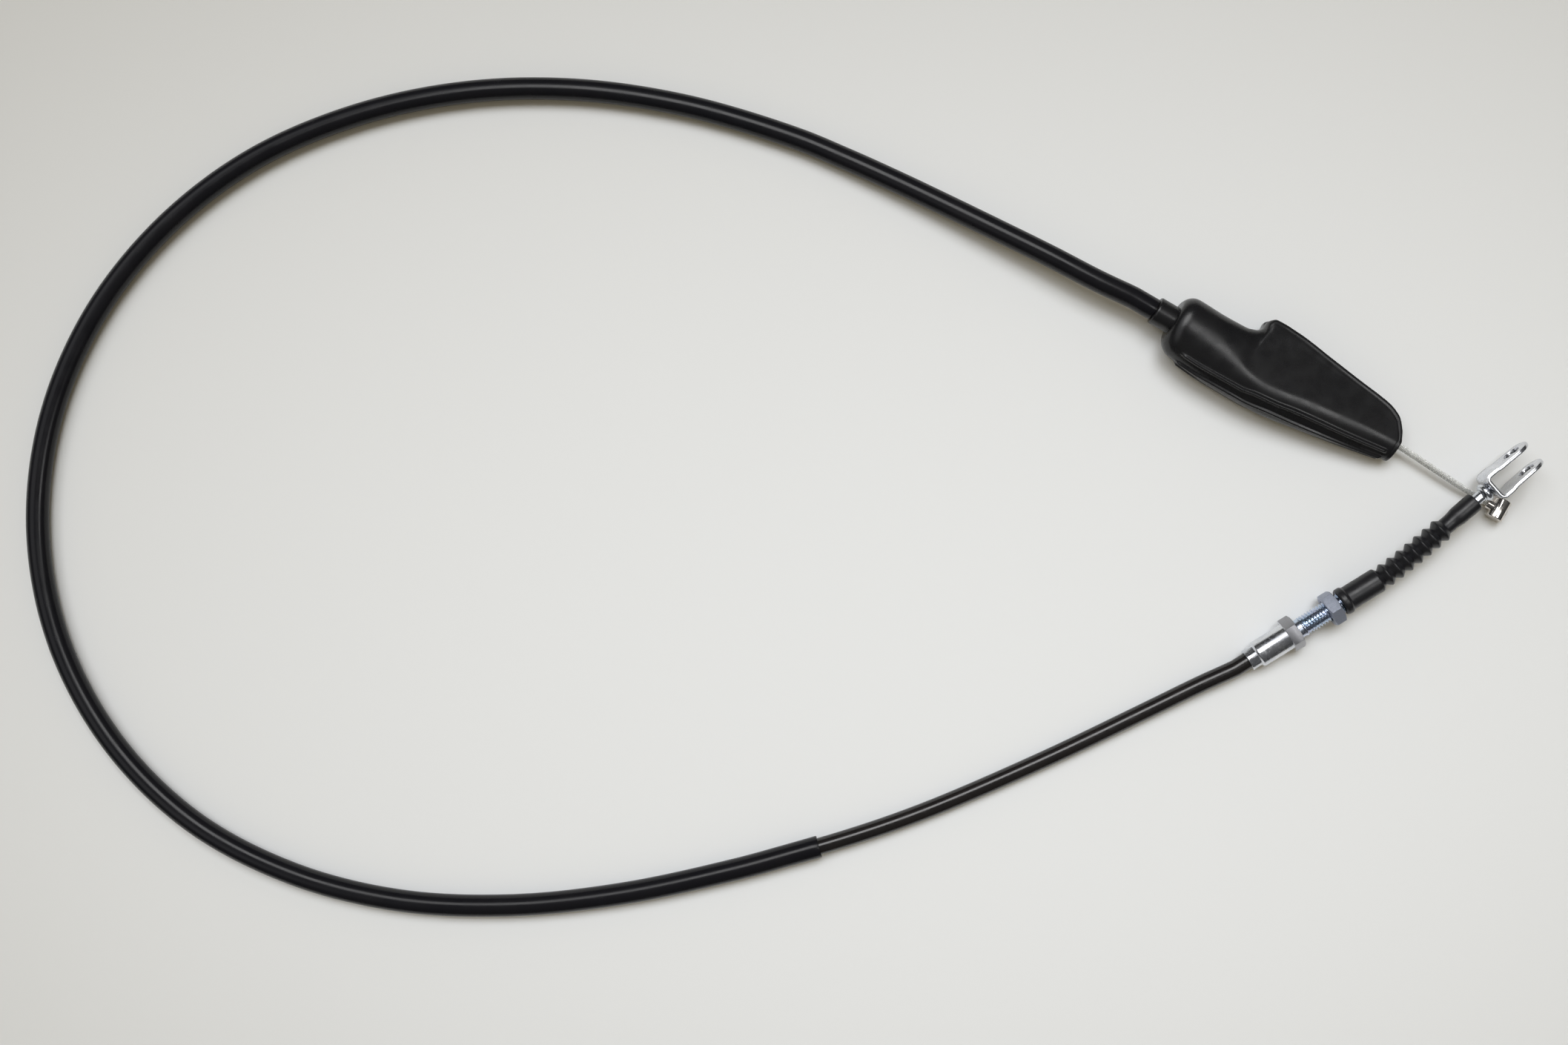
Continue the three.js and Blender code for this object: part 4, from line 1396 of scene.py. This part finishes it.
@dataclass
class Nipple:
    """The barrel nipple across the cable's lever end, and its solder.

    Args:
        frames: the frames of the cable's ends.
    """

    frames: EndFrames
    at: float = 154.4
    radius: float = 3.4
    length: float = 8.2
    rim: float = 0.45
    neck_radius: float = 2.0
    neck_rim: float = 0.35
    neck_length: float = 2.0
    cup_radius: float = 2.3
    cup_floor: float = 1.3
    cup_depth: float = 1.6
    past: float = 0.3

    def build(self) -> list[bpy.types.Object]:
        """Builds the nipple and its solder.

        Returns:
            The pieces.
        """
        half, rim = self.length / 2, self.rim
        lever = self.frames.lever
        barrel = turn_solid(fillet(
            [(-half, 0, 0), (-half, self.radius, rim), (half, self.radius, rim), (half, 0, 0)]))
        barrel.transform(Matrix.Translation((self.at, 0, 0)) @ Matrix.Rotation(QUARTER, 4, "Z"))
        start = self.at - self.radius - self.neck_length
        neck = turn_solid(fillet([
            (start, 0, 0), (start, self.neck_radius, self.neck_rim), (self.at, self.neck_radius, 0),
            (self.at, 0, 0)]), 64)
        back = self.at + self.radius
        floor, mouth = back - self.cup_depth, back + self.past
        cup = turn_solid(
            [(floor, 0), (floor, self.cup_floor), (mouth, self.cup_radius + 0.2), (mouth, 0)], 64)
        shape = soften(combine(combine(barrel, neck, Cut.JOIN), cup, Cut.REMOVE), 0.12, 40.0)
        nipple = put_in_scene(
            shape, "nipple_barrel", lever, FINISHES.nickel, Body.LEVER_END, "barrel_nipple", 30.0)
        under = floor + 0.1
        dome = turn_solid(fillet([
            (under, 0, 0), (under, 1.2, 0), (back - 0.35, 1.95, 0.3), (back - 0.12, 1.2, 0.4),
            (back - 0.02, 0, 0)]), 40)
        solder = put_in_scene(
            dome, "solder_fill", lever, FINISHES.solder, Body.LEVER_END, "nipple_solder", 60.0)
        return [nipple, solder]


# ---------------------------------------------------------------- adjuster


@dataclass
class Adjuster:
    """The crimped barrel with its flange, the threaded screw and the lock nut.

    Args:
        frames: the frames of the cable's ends.
    """

    frames: EndFrames
    crimp_radius: float = 4.4
    crimp_across: float = 8.3
    crimp_turn: float = 12.0
    barrel_radius: float = 5.25
    barrel_shoulder: float = 0.7
    across_flats: float = 12.0
    conduit_bore: float = 3.3
    screw_radius: float = 4.0
    neck_radius: float = 3.7
    neck_length: float = 2.3
    bore_radius: float = 1.8
    pitch: float = 1.25
    thread_depth: float = 0.7
    thread_runs_in: float = 1.2
    screw_chamfer: float = 0.9
    ring_step: float = 0.104
    nut_turn: float = 33.0
    nut_bore: float = 4.03
    nut_countersink: float = 0.55
    run_in: float = 5.0

    def barrel(self) -> bpy.types.Object:
        """Builds the barrel with its crimp and flange, in one piece.

        Returns:
            The piece.
        """
        frames, wide = self.frames, self.barrel_radius
        crimp_end, hex_at, face = frames.crimp_length, frames.hex_at, frames.flange_face_at
        into = 0.4
        body = turn_solid(fillet([
            (crimp_end, 0, 0), (crimp_end, wide - self.barrel_shoulder, 0.1),
            (crimp_end + self.barrel_shoulder, wide, 0.25), (hex_at + into, wide, 0),
            (hex_at + into, 0, 0)]), 128)
        collar = turn_solid(fillet([
            (0, 0, 0), (0, self.crimp_radius, 0.3), (crimp_end + into, self.crimp_radius, 0),
            (crimp_end + into, 0, 0)]))
        flats = hex_prism(-1, crimp_end + 1, self.crimp_across, self.crimp_turn)
        collar = combine(collar, flats, Cut.KEEP_COMMON)
        flange = chamfered_hex(hex_at, face, self.across_flats, 0.0, at_start=False)
        shape = combine(combine(body, flange, Cut.JOIN), collar, Cut.JOIN)
        seat, narrow = frames.conduit_depth + 0.3, self.neck_radius + 0.02
        bore = turn_solid([
            (-1, 0), (-1, self.conduit_bore), (seat, self.conduit_bore), (seat, narrow), (face + 1, narrow),
            (face + 1, 0)], 64)
        shape = soften(combine(shape, bore, Cut.REMOVE), 0.13)
        finish = FINISHES.turned(
            Slot.BRIGHT_ZINC, frames.adjuster, (0.78, 0.79, 0.81), (0.64, 0.66, 0.71),
            RolledStretch(hex_at, face + 0.1))
        return put_in_scene(
            shape, "flanged_barrel", frames.adjuster, finish, Body.CASING, "adjuster_barrel", 24.0)

    @property
    def thread_start(self) -> float:
        """Where the thread starts along the adjuster's axis."""
        return self.frames.flange_face_at + self.neck_length

    def thread(self, at: float, angle: float) -> float:
        """The height over the thread's crest, at a distance along the screw and an angle round it.

        Args:
            at: the distance along the adjuster's axis.
            angle: the angle round it.

        Returns:
            The height, which is never above 0.
        """
        phase = (at / self.pitch - angle / math.tau) % 1.0
        crest, slope = 0.0625, 0.3125
        groove = min(max((abs(phase - 0.5) - crest) / slope, 0.0), 1.0)
        depth = self.thread_depth * groove * ease(
            at, self.thread_start, self.thread_start + self.thread_runs_in)
        return -max(depth, at - (self.frames.screw_end - self.screw_chamfer), 0.0)

    def screw(self) -> bpy.types.Object:
        """Builds the hollow screw with its real thread.

        Returns:
            The piece.
        """
        frames, first = self.frames, self.thread_start
        start, end = frames.conduit_depth + 0.6, frames.screw_end
        count = round((end - first) / self.ring_step)
        rings = [
            Ring(start, self.bore_radius), Ring(start, self.neck_radius),
            Ring(first - 0.35, self.neck_radius)]
        rings += [Ring(mix(first, end, i / count), self.screw_radius, True) for i in range(count + 1)]
        rings += [Ring(end, self.bore_radius + 0.3), Ring(end - 0.4, self.bore_radius), rings[0]]
        line = Route([Vector((start - self.run_in, 0, 0)), Vector((end + self.run_in, 0, 0))])
        moved = [Ring(ring.at - start + self.run_in, ring.radius, ring.worked) for ring in rings]
        shape = sheath(line, moved, 60, lambda at, angle: self.thread(at + start - self.run_in, angle))
        finish = FINISHES.turned(Slot.BLUE_ZINC, frames.adjuster, (0.56, 0.68, 0.81), (0.62, 0.65, 0.77))
        return put_in_scene(
            shape, "threaded_screw", frames.adjuster, finish, Body.CASING, "adjuster_screw", 30.0)

    def nut(self) -> bpy.types.Object:
        """Builds the lock nut.

        Returns:
            The piece.
        """
        frames, narrow, wide = self.frames, self.nut_bore, self.nut_bore + 0.87
        start, end = frames.nut_start, frames.nut_start + frames.nut_thickness
        blank = chamfered_hex(start, end, self.across_flats, self.nut_turn, at_start=True)
        bore = turn_solid([
            (start - 1, 0), (start - 1, wide), (start + self.nut_countersink, narrow),
            (end - self.nut_countersink, narrow), (end + 1, wide), (end + 1, 0)], 72)
        shape = soften(combine(blank, bore, Cut.REMOVE), 0.12)
        finish = FINISHES.turned(
            Slot.BLUE_ZINC, frames.adjuster, (0.58, 0.63, 0.77), (0.56, 0.52, 0.7),
            RolledStretch(start, end, (0.47, 0.5, 0.58), (0.56, 0.76)))
        return put_in_scene(shape, "hex_lock_nut", frames.adjuster, finish, Body.LOCK_NUT, "lock_nut", 24.0)

    def build(self) -> list[bpy.types.Object]:
        """Builds the adjuster's three pieces."""
        return [self.barrel(), self.screw(), self.nut()]


# ---------------------------------------------------------------- bellows


@dataclass
class Bellows:
    """The ribbed rubber bellows between the screw and the stem.

    Args:
        frames: the frames of the cable's ends.
    """

    frames: EndFrames
    lip_radius: float = 5.5
    lip_length: float = 3.3
    cuff_radius: float = 4.85
    cuff_to_folds: float = 1.4
    folds: int = 7
    steps_per_fold: int = 20
    pitch: float = 4.38
    fold_rounding: float = 0.09
    fold_softness: float = 0.12
    peak_radius: float = 4.75
    valley_radius: float = 3.2
    neck_radius: float = 3.3
    neck_length: float = 3.84
    flare: float = 2.6
    small_cuff_radius: float = 3.8
    wall: float = 0.75
    screw_bore: float = 4.05
    stem_bore: float = 2.25

    def middle_line(self) -> Route:
        """The bellows's middle line on the bench."""
        frames = self.frames
        return Route([frames.adjuster.along(frames.lip_at), *frames.bend_arc(30), frames.stem.along(0)])

    def fold(self, share: float, thickness: float) -> float:
        """The radius at a share of one fold, from valley to valley, less a thickness.

        Args:
            share: the place along the fold, from 0 to 1.
            thickness: what is taken off the radius.

        Returns:
            The radius.
        """
        rounding = self.fold_rounding
        off = math.sqrt((2 * share - 1) ** 2 + rounding**2)
        swell = 1 - (off - rounding) / (math.sqrt(1 + rounding**2) - rounding)
        swell = mix(swell, ease(swell), self.fold_softness)
        return mix(self.valley_radius, self.peak_radius, swell) - thickness

    def build(self) -> bpy.types.Object:
        """Builds the bellows.

        Returns:
            The piece.
        """
        frames = self.frames
        cuff, length = frames.cuff_length, frames.bellows_length
        lip, lip_wide = self.lip_length, self.lip_radius
        cuff_wide, small = self.cuff_radius, self.small_cuff_radius
        folds_start = cuff + self.cuff_to_folds
        folds_end = folds_start + self.folds * self.pitch
        neck_end = folds_end + self.neck_length
        small_start = neck_end + self.flare
        outside = fillet([
            (0, self.screw_bore + 0.5, 0), (0, lip_wide - 0.55, 0.2), (0.55, lip_wide, 0.6),
            (lip - 0.7, lip_wide, 0.5), (lip, cuff_wide, 0.35), (cuff - 0.1, cuff_wide, 0.4),
            (folds_start, self.valley_radius, 0)], 6)[:-1]
        shares = [
            fold + i / self.steps_per_fold for fold in range(self.folds) for i in range(self.steps_per_fold)]
        outside += [(folds_start + share * self.pitch, self.fold(share % 1, 0.0)) for share in shares]
        outside += fillet([
            (folds_end, self.neck_radius, 0), (neck_end, self.neck_radius, 1.2), (small_start, small, 1.1),
            (length - 0.1, small, 0.5), (length, small - 0.9, 0.25), (length, self.stem_bore, 0)], 6)
        inside = [(folds_end, self.stem_bore)]
        inside += [
            (folds_start + share * self.pitch, self.fold(share % 1, self.wall)) for share in shares[-2::-2]
        ]
        screw_end = frames.screw_end - frames.lip_at + 0.3
        inside += [(cuff, self.valley_radius - self.wall), (screw_end, self.screw_bore), (0, self.screw_bore)]
        outline = outside + inside
        longest = 1.5
        stretches = [
            (mix(a[0], b[0], i / parts), mix(a[1], b[1], i / parts))
            for a, b in zip(outline, outline[1:])
            for parts in [max(1, math.ceil(abs(b[0] - a[0]) / longest))] for i in range(parts)
        ]
        line = self.middle_line()
        scale = line.length / length
        rings = [Ring(at * scale, radius) for at, radius in stretches + [inside[-1], outside[0]]]
        piece = put_in_scene(
            sheath(line, rings, 64), "ribbed_bellows", None, FINISHES.bellows, None, "bellows", 60.0)
        frames.adjuster.along(frames.cuff_end_at) * METRES
        line.at(folds_end * scale) * METRES
        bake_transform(piece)
        return piece


# ---------------------------------------------------------------- clevis end


@dataclass
class ClevisEnd:
    """The end stem with its ball and rivet, and the clevis that turns on it.

    Args:
        frames: the frames of the cable's ends.
    """

    frames: EndFrames
    stem_radius: float = 2.2
    stem_shows: float = 3.4
    stem_tail: float = 11.0
    socket_depth: float = 8.0
    socket_radius: float = 1.3
    ball_radius: float = 3.7
    ball_length: float = 2.9
    ball_power: float = 2.5
    rivet_radius: float = 1.9
    head_radius: float = 3.0
    head_height: float = 1.1
    sheet: float = 1.55
    width: float = 12.0
    length: float = 22.2
    root_spread: float = 11.3
    tip_spread: float = 10.3
    bend_radius: float = 2.6
    joggle_at: float = 5.2
    joggle_length: float = 3.6
    eye_radius: float = 3.25
    eye_to_tip: float = 6.8
    tip_round: float = 5.8
    gap: float = 0.3

    @property
    def base_at(self) -> float:
        """Where the clevis's outer base face is."""
        return self.stem_shows + self.ball_length + self.gap

    def stem(self) -> bpy.types.Object:
        """Builds the stem with its ball, pin and rivet head.

        Returns:
            The piece.
        """
        ball, head = self.stem_shows, self.base_at + self.sheet + 0.1
        end, tail, bottom = ball + self.ball_length, -self.stem_tail, self.socket_depth - self.stem_tail
        top, narrow = head + self.head_height, self.socket_radius
        outline = fillet([
            (tail, narrow, 0), (tail, self.stem_radius, 0.2), (ball - 0.25, self.stem_radius, 0.5),
            (ball - 0.1, self.stem_radius + 0.3, 0)], 6)
        middle, reach = ball + self.ball_length * 0.52, self.ball_length * 0.6
        for along in (mix(ball, end, i / 14) for i in range(15)):
            share = abs((along - middle) / reach)
            outline.append((along, self.ball_radius * (1 - share**self.ball_power) ** (1 / self.ball_power)))
        outline += fillet([
            (end, self.rivet_radius, 0), (head, self.rivet_radius, 0), (head, self.head_radius, 0.25),
            (head + self.head_height * 0.6, self.head_radius * 0.85, 0.4), (top, self.head_radius * 0.4, 0.3),
            (top, 0, 0)], 6)
        shape = turn_solid(outline + [(bottom, 0), (bottom, narrow)], 72)
        socket = self.frames.stem
        finish = FINISHES.turned(Slot.BRIGHT_ZINC, socket, (0.74, 0.76, 0.79), (0.6, 0.63, 0.69))
        return put_in_scene(shape, "ball_stem", socket, finish, Body.BRAKE_END, "end_stem", 35.0)

    def half_line(self) -> Route:
        """The middle line of the sheet, from the middle of the base to a tip, in the plane of X and Y.

        Returns:
            The route.
        """
        thick = self.sheet / 2
        radius = self.bend_radius - thick
        root, tip = self.root_spread / 2 - thick, self.tip_spread / 2 - thick
        base = self.base_at + thick
        points = [Vector((base, 0, 0))]
        for angle in (QUARTER * i / 12 for i in range(13)):
            along, out = base + radius * (1 - math.cos(angle)), root - radius * (1 - math.sin(angle))
            points.append(Vector((along, out, 0)))
        for share in (i / 12 for i in range(13)):
            drawn = mix(root, tip, (1 - math.cos(math.pi * share)) / 2)
            points.append(Vector((self.base_at + self.joggle_at + self.joggle_length * share, drawn, 0)))
        return Route(points + [Vector((self.base_at + self.length, tip, 0))])

    def blank(self, reach: float) -> BMesh:
        """The flat sheet with its round tips, eyes and rivet hole.

        Args:
            reach: the distance from its middle to a tip.

        Returns:
            The flat plate, on X and Y, with its thickness along Z.
        """
        shape = bmesh.new()
        half, eye = self.width / 2, reach - self.eye_to_tip
        outline: list[Pair] = []
        for side in (1, -1):
            for angle in (-QUARTER + math.pi * i / 32 for i in range(33)):
                at = reach - self.tip_round + self.tip_round * math.cos(angle)
                outline.append((side * at, side * half * math.sin(angle)))
        loops = [outline]
        for middle, radius, count in (
            (eye, self.eye_radius, 48), (-eye, self.eye_radius, 48), (0.0, self.rivet_radius + 0.1, 36),
        ):
            turns = [math.tau * i / count for i in range(count)]
            loops.append([(middle + radius * math.cos(turn), radius * math.sin(turn)) for turn in turns])
        edges = []
        for loop in loops:
            corners = [shape.verts.new((x, y, -self.sheet / 2)) for x, y in loop]
            edges += [shape.edges.new(pair) for pair in zip(corners, corners[1:] + corners[:1])]
        bmesh.ops.triangle_fill(shape, edges=edges, use_beauty=True, use_dissolve=False, normal=(0, 0, 1))
        cuts = [self.bend_radius + 0.42 * i for i in range(12)]
        cuts += [self.joggle_at + 0.8 + 0.45 * i for i in range(12)]
        for place in cuts + [-cut for cut in cuts]:
            geometry = shape.verts[:] + shape.edges[:] + shape.faces[:]
            bmesh.ops.bisect_plane(
                shape, geom=geometry, dist=DOUBLES, plane_co=(place, 0, 0), plane_no=(1, 0, 0))
        raised = bmesh.ops.extrude_face_region(shape, geom=shape.faces[:])
        moved = [item for item in raised["geom"] if isinstance(item, bmesh.types.BMVert)]
        bmesh.ops.translate(shape, verts=moved, vec=(0, 0, self.sheet))
        bmesh.ops.recalc_face_normals(shape, faces=shape.faces)
        return soften(shape, 0.42, 60.0)

    def clevis(self) -> bpy.types.Object:
        """Builds the clevis: a flat blank that is bent round its base.

        Returns:
            The piece.
        """
        line = self.half_line()
        shape = self.blank(line.length)
        for vertex in shape.verts:
            along, across, out = vertex.co
            side = 1 if along >= 0 else -1
            middle = line.at(abs(along))
            tangent = line.direction(abs(along), 0.05)
            at = middle + Vector((-tangent.y, tangent.x, 0)) * out
            vertex.co = Vector((at.x, side * at.y, across))
        bmesh.ops.recalc_face_normals(shape, faces=shape.faces)
        return put_in_scene(
            shape, "clevis_strap", self.frames.stem, FINISHES.bright_zinc, Body.CLEVIS_YOKE, "clevis", 30.0)

    def build(self) -> list[bpy.types.Object]:
        """Builds the stem and the clevis."""
        return [self.stem(), self.clevis()]


# ---------------------------------------------------------------- hidden pieces


@dataclass(frozen=True)
class HiddenPieces:
    """The solids inside the conduit and the boot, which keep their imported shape."""

    nodes: dict[str, bpy.types.Object]

    def dress(self) -> None:
        """Gives each of them its finish."""
        for name, finish in (
            ("conduit_coil", FINISHES.winding), ("conduit_liner", FINISHES.liner),
            ("lever_ferrule", FINISHES.bright_zinc),
        ):
            node = self.nodes[name]
            material = finish.material(f"{name}_finish")
            if node.material_slots:
                node.material_slots[0].material = material
            else:
                node.data.materials.append(material)
            LOG.info("%s: keeps its packed shape", name)


# ---------------------------------------------------------------- studio


@dataclass(frozen=True)
class Softbox:
    """A soft bright patch of the room, which only gloss shows.

    Args:
        across: its middle's angle from straight up towards +X, in degrees.
        along: its middle's angle from straight up towards +Y, in degrees.
        turn: the bearing of its long side, in degrees.
        half_length: half of its long side, in degrees.
        half_width: half of its short side, in degrees.
        brightness: its radiance, 1 being white.
        softness: how softly it ends, as a share of its size.
    """

    across: float
    along: float
    turn: float
    half_length: float
    half_width: float
    brightness: float
    softness: float = 0.35

    def add(self, nodes: Nodes, direction: Socket, light: Socket) -> Socket:
        """Adds the patch to the brightness of a direction.

        Args:
            nodes: the world's nodes.
            direction: the direction that is looked in.
            light: the brightness so far.

        Returns:
            The brightness with the patch.
        """
        across, along, turn = (math.radians(angle) for angle in (self.across, self.along, self.turn))
        middle = Vector((math.tan(across), math.tan(along), 1)).normalized()
        bearing = Vector((math.cos(turn), math.sin(turn), 0))
        long_side = (bearing - middle * bearing.dot(middle)).normalized()
        squares = []
        for side, reach in ((long_side, self.half_length), (middle.cross(long_side), self.half_width)):
            part = nodes.dot(direction, side / math.sin(math.radians(reach)))
            squares.append(nodes.work_out("MULTIPLY", part, part))
        border = (1 - self.softness, 1 + self.softness)
        patch = nodes.map_range(nodes.work_out("ADD", *squares), border, (self.brightness, 0.0))
        facing = nodes.work_out("GREATER_THAN", nodes.dot(direction, middle), 0.0)
        return nodes.work_out("MULTIPLY_ADD", patch, facing, light)


@dataclass(frozen=True)
class Lamp:
    """A lamp over the bench, which only gloss shows.

    Args:
        at: its middle, in metres.
        length: its long side, in metres.
        width: its short side, in metres.
        turn: the bearing of its long side, in degrees.
        brightness: its radiance, 1 being white.
    """

    at: tuple[float, float, float]
    length: float
    width: float
    turn: float
    brightness: float

    WATTS_EACH_SQUARE_METRE = 4

    def hang(self) -> None:
        """Hangs the lamp, facing straight down."""
        data = bpy.data.lights.new("lamp", "AREA")
        data.shape = "RECTANGLE"
        data.size = self.length
        data.size_y = self.width
        data.energy = self.brightness * self.WATTS_EACH_SQUARE_METRE * self.length * self.width
        made = add_object("lamp", data)
        made.location = self.at
        made.rotation_euler = (0, 0, math.radians(self.turn))
        made.visible_diffuse = False
        made.visible_camera = False


@dataclass(frozen=True)
class Studio:
    """The pale bench, the soft light and the camera over them."""

    camera_at: tuple[float, float, float] = (-0.21236, -0.01437, 0.680)
    lens: float = 40.19
    sensor: float = 36.0
    seen_from: float = 0.01
    seen_to: float = 20.0
    bench_size: float = 4.0
    bench_colour: Colour = (0.785, 0.785, 0.782)
    # The darker far colour, its falloff, its knee, its centre and its reach paint a pool of light onto the
    # bench colour.
    bench_painted_dim_colour: Colour = (0.47, 0.455, 0.423)
    painted_light_falloff: float = 1 / 2.75
    painted_light_knee: float = 0.7
    painted_light_centre: Pair = (-0.128, -0.070)
    painted_light_reach: Pair = (0.374, 0.245)
    sky: float = 0.31
    sky_colour: Colour = (1.0, 0.89, 0.66)
    backdrop: float = 0.82
    backdrop_colour: Colour = (1.0, 0.995, 0.985)
    mirrored_colour: Colour = (0.98, 0.99, 1.0)
    wall_heights: Pair = (0.2, 0.95)
    wall_brightness: Pair = (0.05, 0.11)
    key_lights: tuple[tuple[float, float, float], ...] = ((1.64, 64.0, 80.0), (0.88, 58.0, 140.0))
    key_angle: float = 30.0
    key_colour: Colour = (0.98, 1.03, 1.10)
    key_distance: float = 2.0
    lamps: tuple[Lamp, ...] = (
        Lamp((-0.23, 0.38, 1.01), 0.58, 0.48, 0, 3.9),
        Lamp((0.365, -0.095, 1.0), 0.48, 0.2, -30, 3.6),
    )
    softboxes: tuple[Softbox, ...] = (
        Softbox(-22, 29, 0, 26, 12, 0.5),
        Softbox(-36, 0, 90, 34, 20, 0.6),
    )

    def camera(self) -> None:
        """Sets the camera straight over the bench."""
        data = bpy.data.cameras.new("camera")
        data.lens, data.sensor_width = self.lens, self.sensor
        data.clip_start, data.clip_end = self.seen_from, self.seen_to
        made = add_object("camera", data)
        made.location = self.camera_at
        bpy.context.scene.camera = made

    def bench(self) -> None:
        """Lays the bench top, with a painted pool of light: its colour is brightest under the middle of the
        loop and darkens farther out.
        """
        shape = bmesh.new()
        bmesh.ops.create_grid(shape, x_segments=1, y_segments=1, size=self.bench_size)
        mesh = to_mesh(shape, "bench")
        graph = Graph("bench_painted_light")
        graph.set(Roughness=0.7, Specular_IOR_Level=0.2)
        # Painted pool of light: the colour fades from the bright bench colour at the centre to the darker far
        # colour with distance.
        shift = graph.vector("SUBTRACT", graph.places, (*self.painted_light_centre, 0)).outputs[0]
        reach = (1 / self.painted_light_reach[0], 1 / self.painted_light_reach[1], 1)
        scaled = graph.vector("MULTIPLY", shift, reach).outputs[0]
        painted_dimming = graph.work_out("MULTIPLY", graph.dot(scaled, scaled), self.painted_light_falloff)
        share = graph.work_out("SMOOTH_MIN", painted_dimming, 1.0, self.painted_light_knee)
        graph.feed("Base Color", graph.blend(share, (*self.bench_colour, 1), (*self.bench_painted_dim_colour, 1)))
        mesh.materials.append(graph.material)
        add_object("bench", mesh)

    def hang_lights(self) -> None:
        """Hangs the soft key lights, each given by its strength, elevation and bearing, and the lamps."""
        for strength, elevation, bearing in self.key_lights:
            data = bpy.data.lights.new("key", "SUN")
            data.energy = strength
            data.angle = math.radians(self.key_angle)
            data.color = self.key_colour
            made = add_object("key", data)
            rise, turn = math.radians(elevation), math.radians(bearing)
            flat = math.cos(rise)
            towards = Vector((flat * math.cos(turn), flat * math.sin(turn), math.sin(rise)))
            made.rotation_euler = towards.to_track_quat("Z", "Y").to_euler()
            made.location = towards * self.key_distance
            made.visible_glossy = False
        for lamp in self.lamps:
            lamp.hang()

    def surroundings(self) -> None:
        """Makes the room: even for matt surfaces, and with dim walls and soft lamps where it is mirrored."""
        world = bpy.data.worlds.new("room")
        bpy.context.scene.world = world
        world.use_nodes = True
        nodes = Nodes(world.node_tree)
        nodes.tree.nodes.clear()
        direction = nodes.node("ShaderNodeTexCoord").outputs["Generated"]
        height = nodes.node("ShaderNodeSeparateXYZ", {0: direction}).outputs["Z"]
        light = nodes.map_range(height, self.wall_heights, self.wall_brightness)
        for softbox in self.softboxes:
            light = softbox.add(nodes, direction, light)
        even, mirrored, seen = (
            nodes.node("ShaderNodeBackground", {"Color": (*colour, 1), "Strength": strength}).outputs[0]
            for colour, strength in (
                (self.sky_colour, self.sky), (self.mirrored_colour, light),
                (self.backdrop_colour, self.backdrop),
            )
        )
        ray = nodes.node("ShaderNodeLightPath").outputs
        room = nodes.node("ShaderNodeMixShader", {0: ray["Is Glossy Ray"], 1: even, 2: mirrored}).outputs[0]
        shown = nodes.node("ShaderNodeMixShader", {0: ray["Is Camera Ray"], 1: room, 2: seen}).outputs[0]
        nodes.node("ShaderNodeOutputWorld", {"Surface": shown})

    def build(self) -> None:
        """Sets up the camera, the bench and the light."""
        bpy.context.scene.view_settings.view_transform = "Standard"
        self.camera()
        self.bench()
        self.hang_lights()
        self.surroundings()


def write_sizes() -> None:
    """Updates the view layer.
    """
    bpy.context.view_layer.update()


def main() -> None:
    """Builds the cable and its setting."""
    logging.basicConfig(level=logging.INFO, format="%(name)s: %(message)s")
    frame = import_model()
    frames = EndFrames()
    Studio().build()
    Casing(frames).build()
    LeverBoot(frames).build()
    Nipple(frames).build()
    Adjuster(frames).build()
    Bellows(frames).build()
    ClevisEnd(frames).build()
    HiddenPieces(frame["nodes"]).dress()
    write_sizes()


if __name__ == "__main__":
    main()
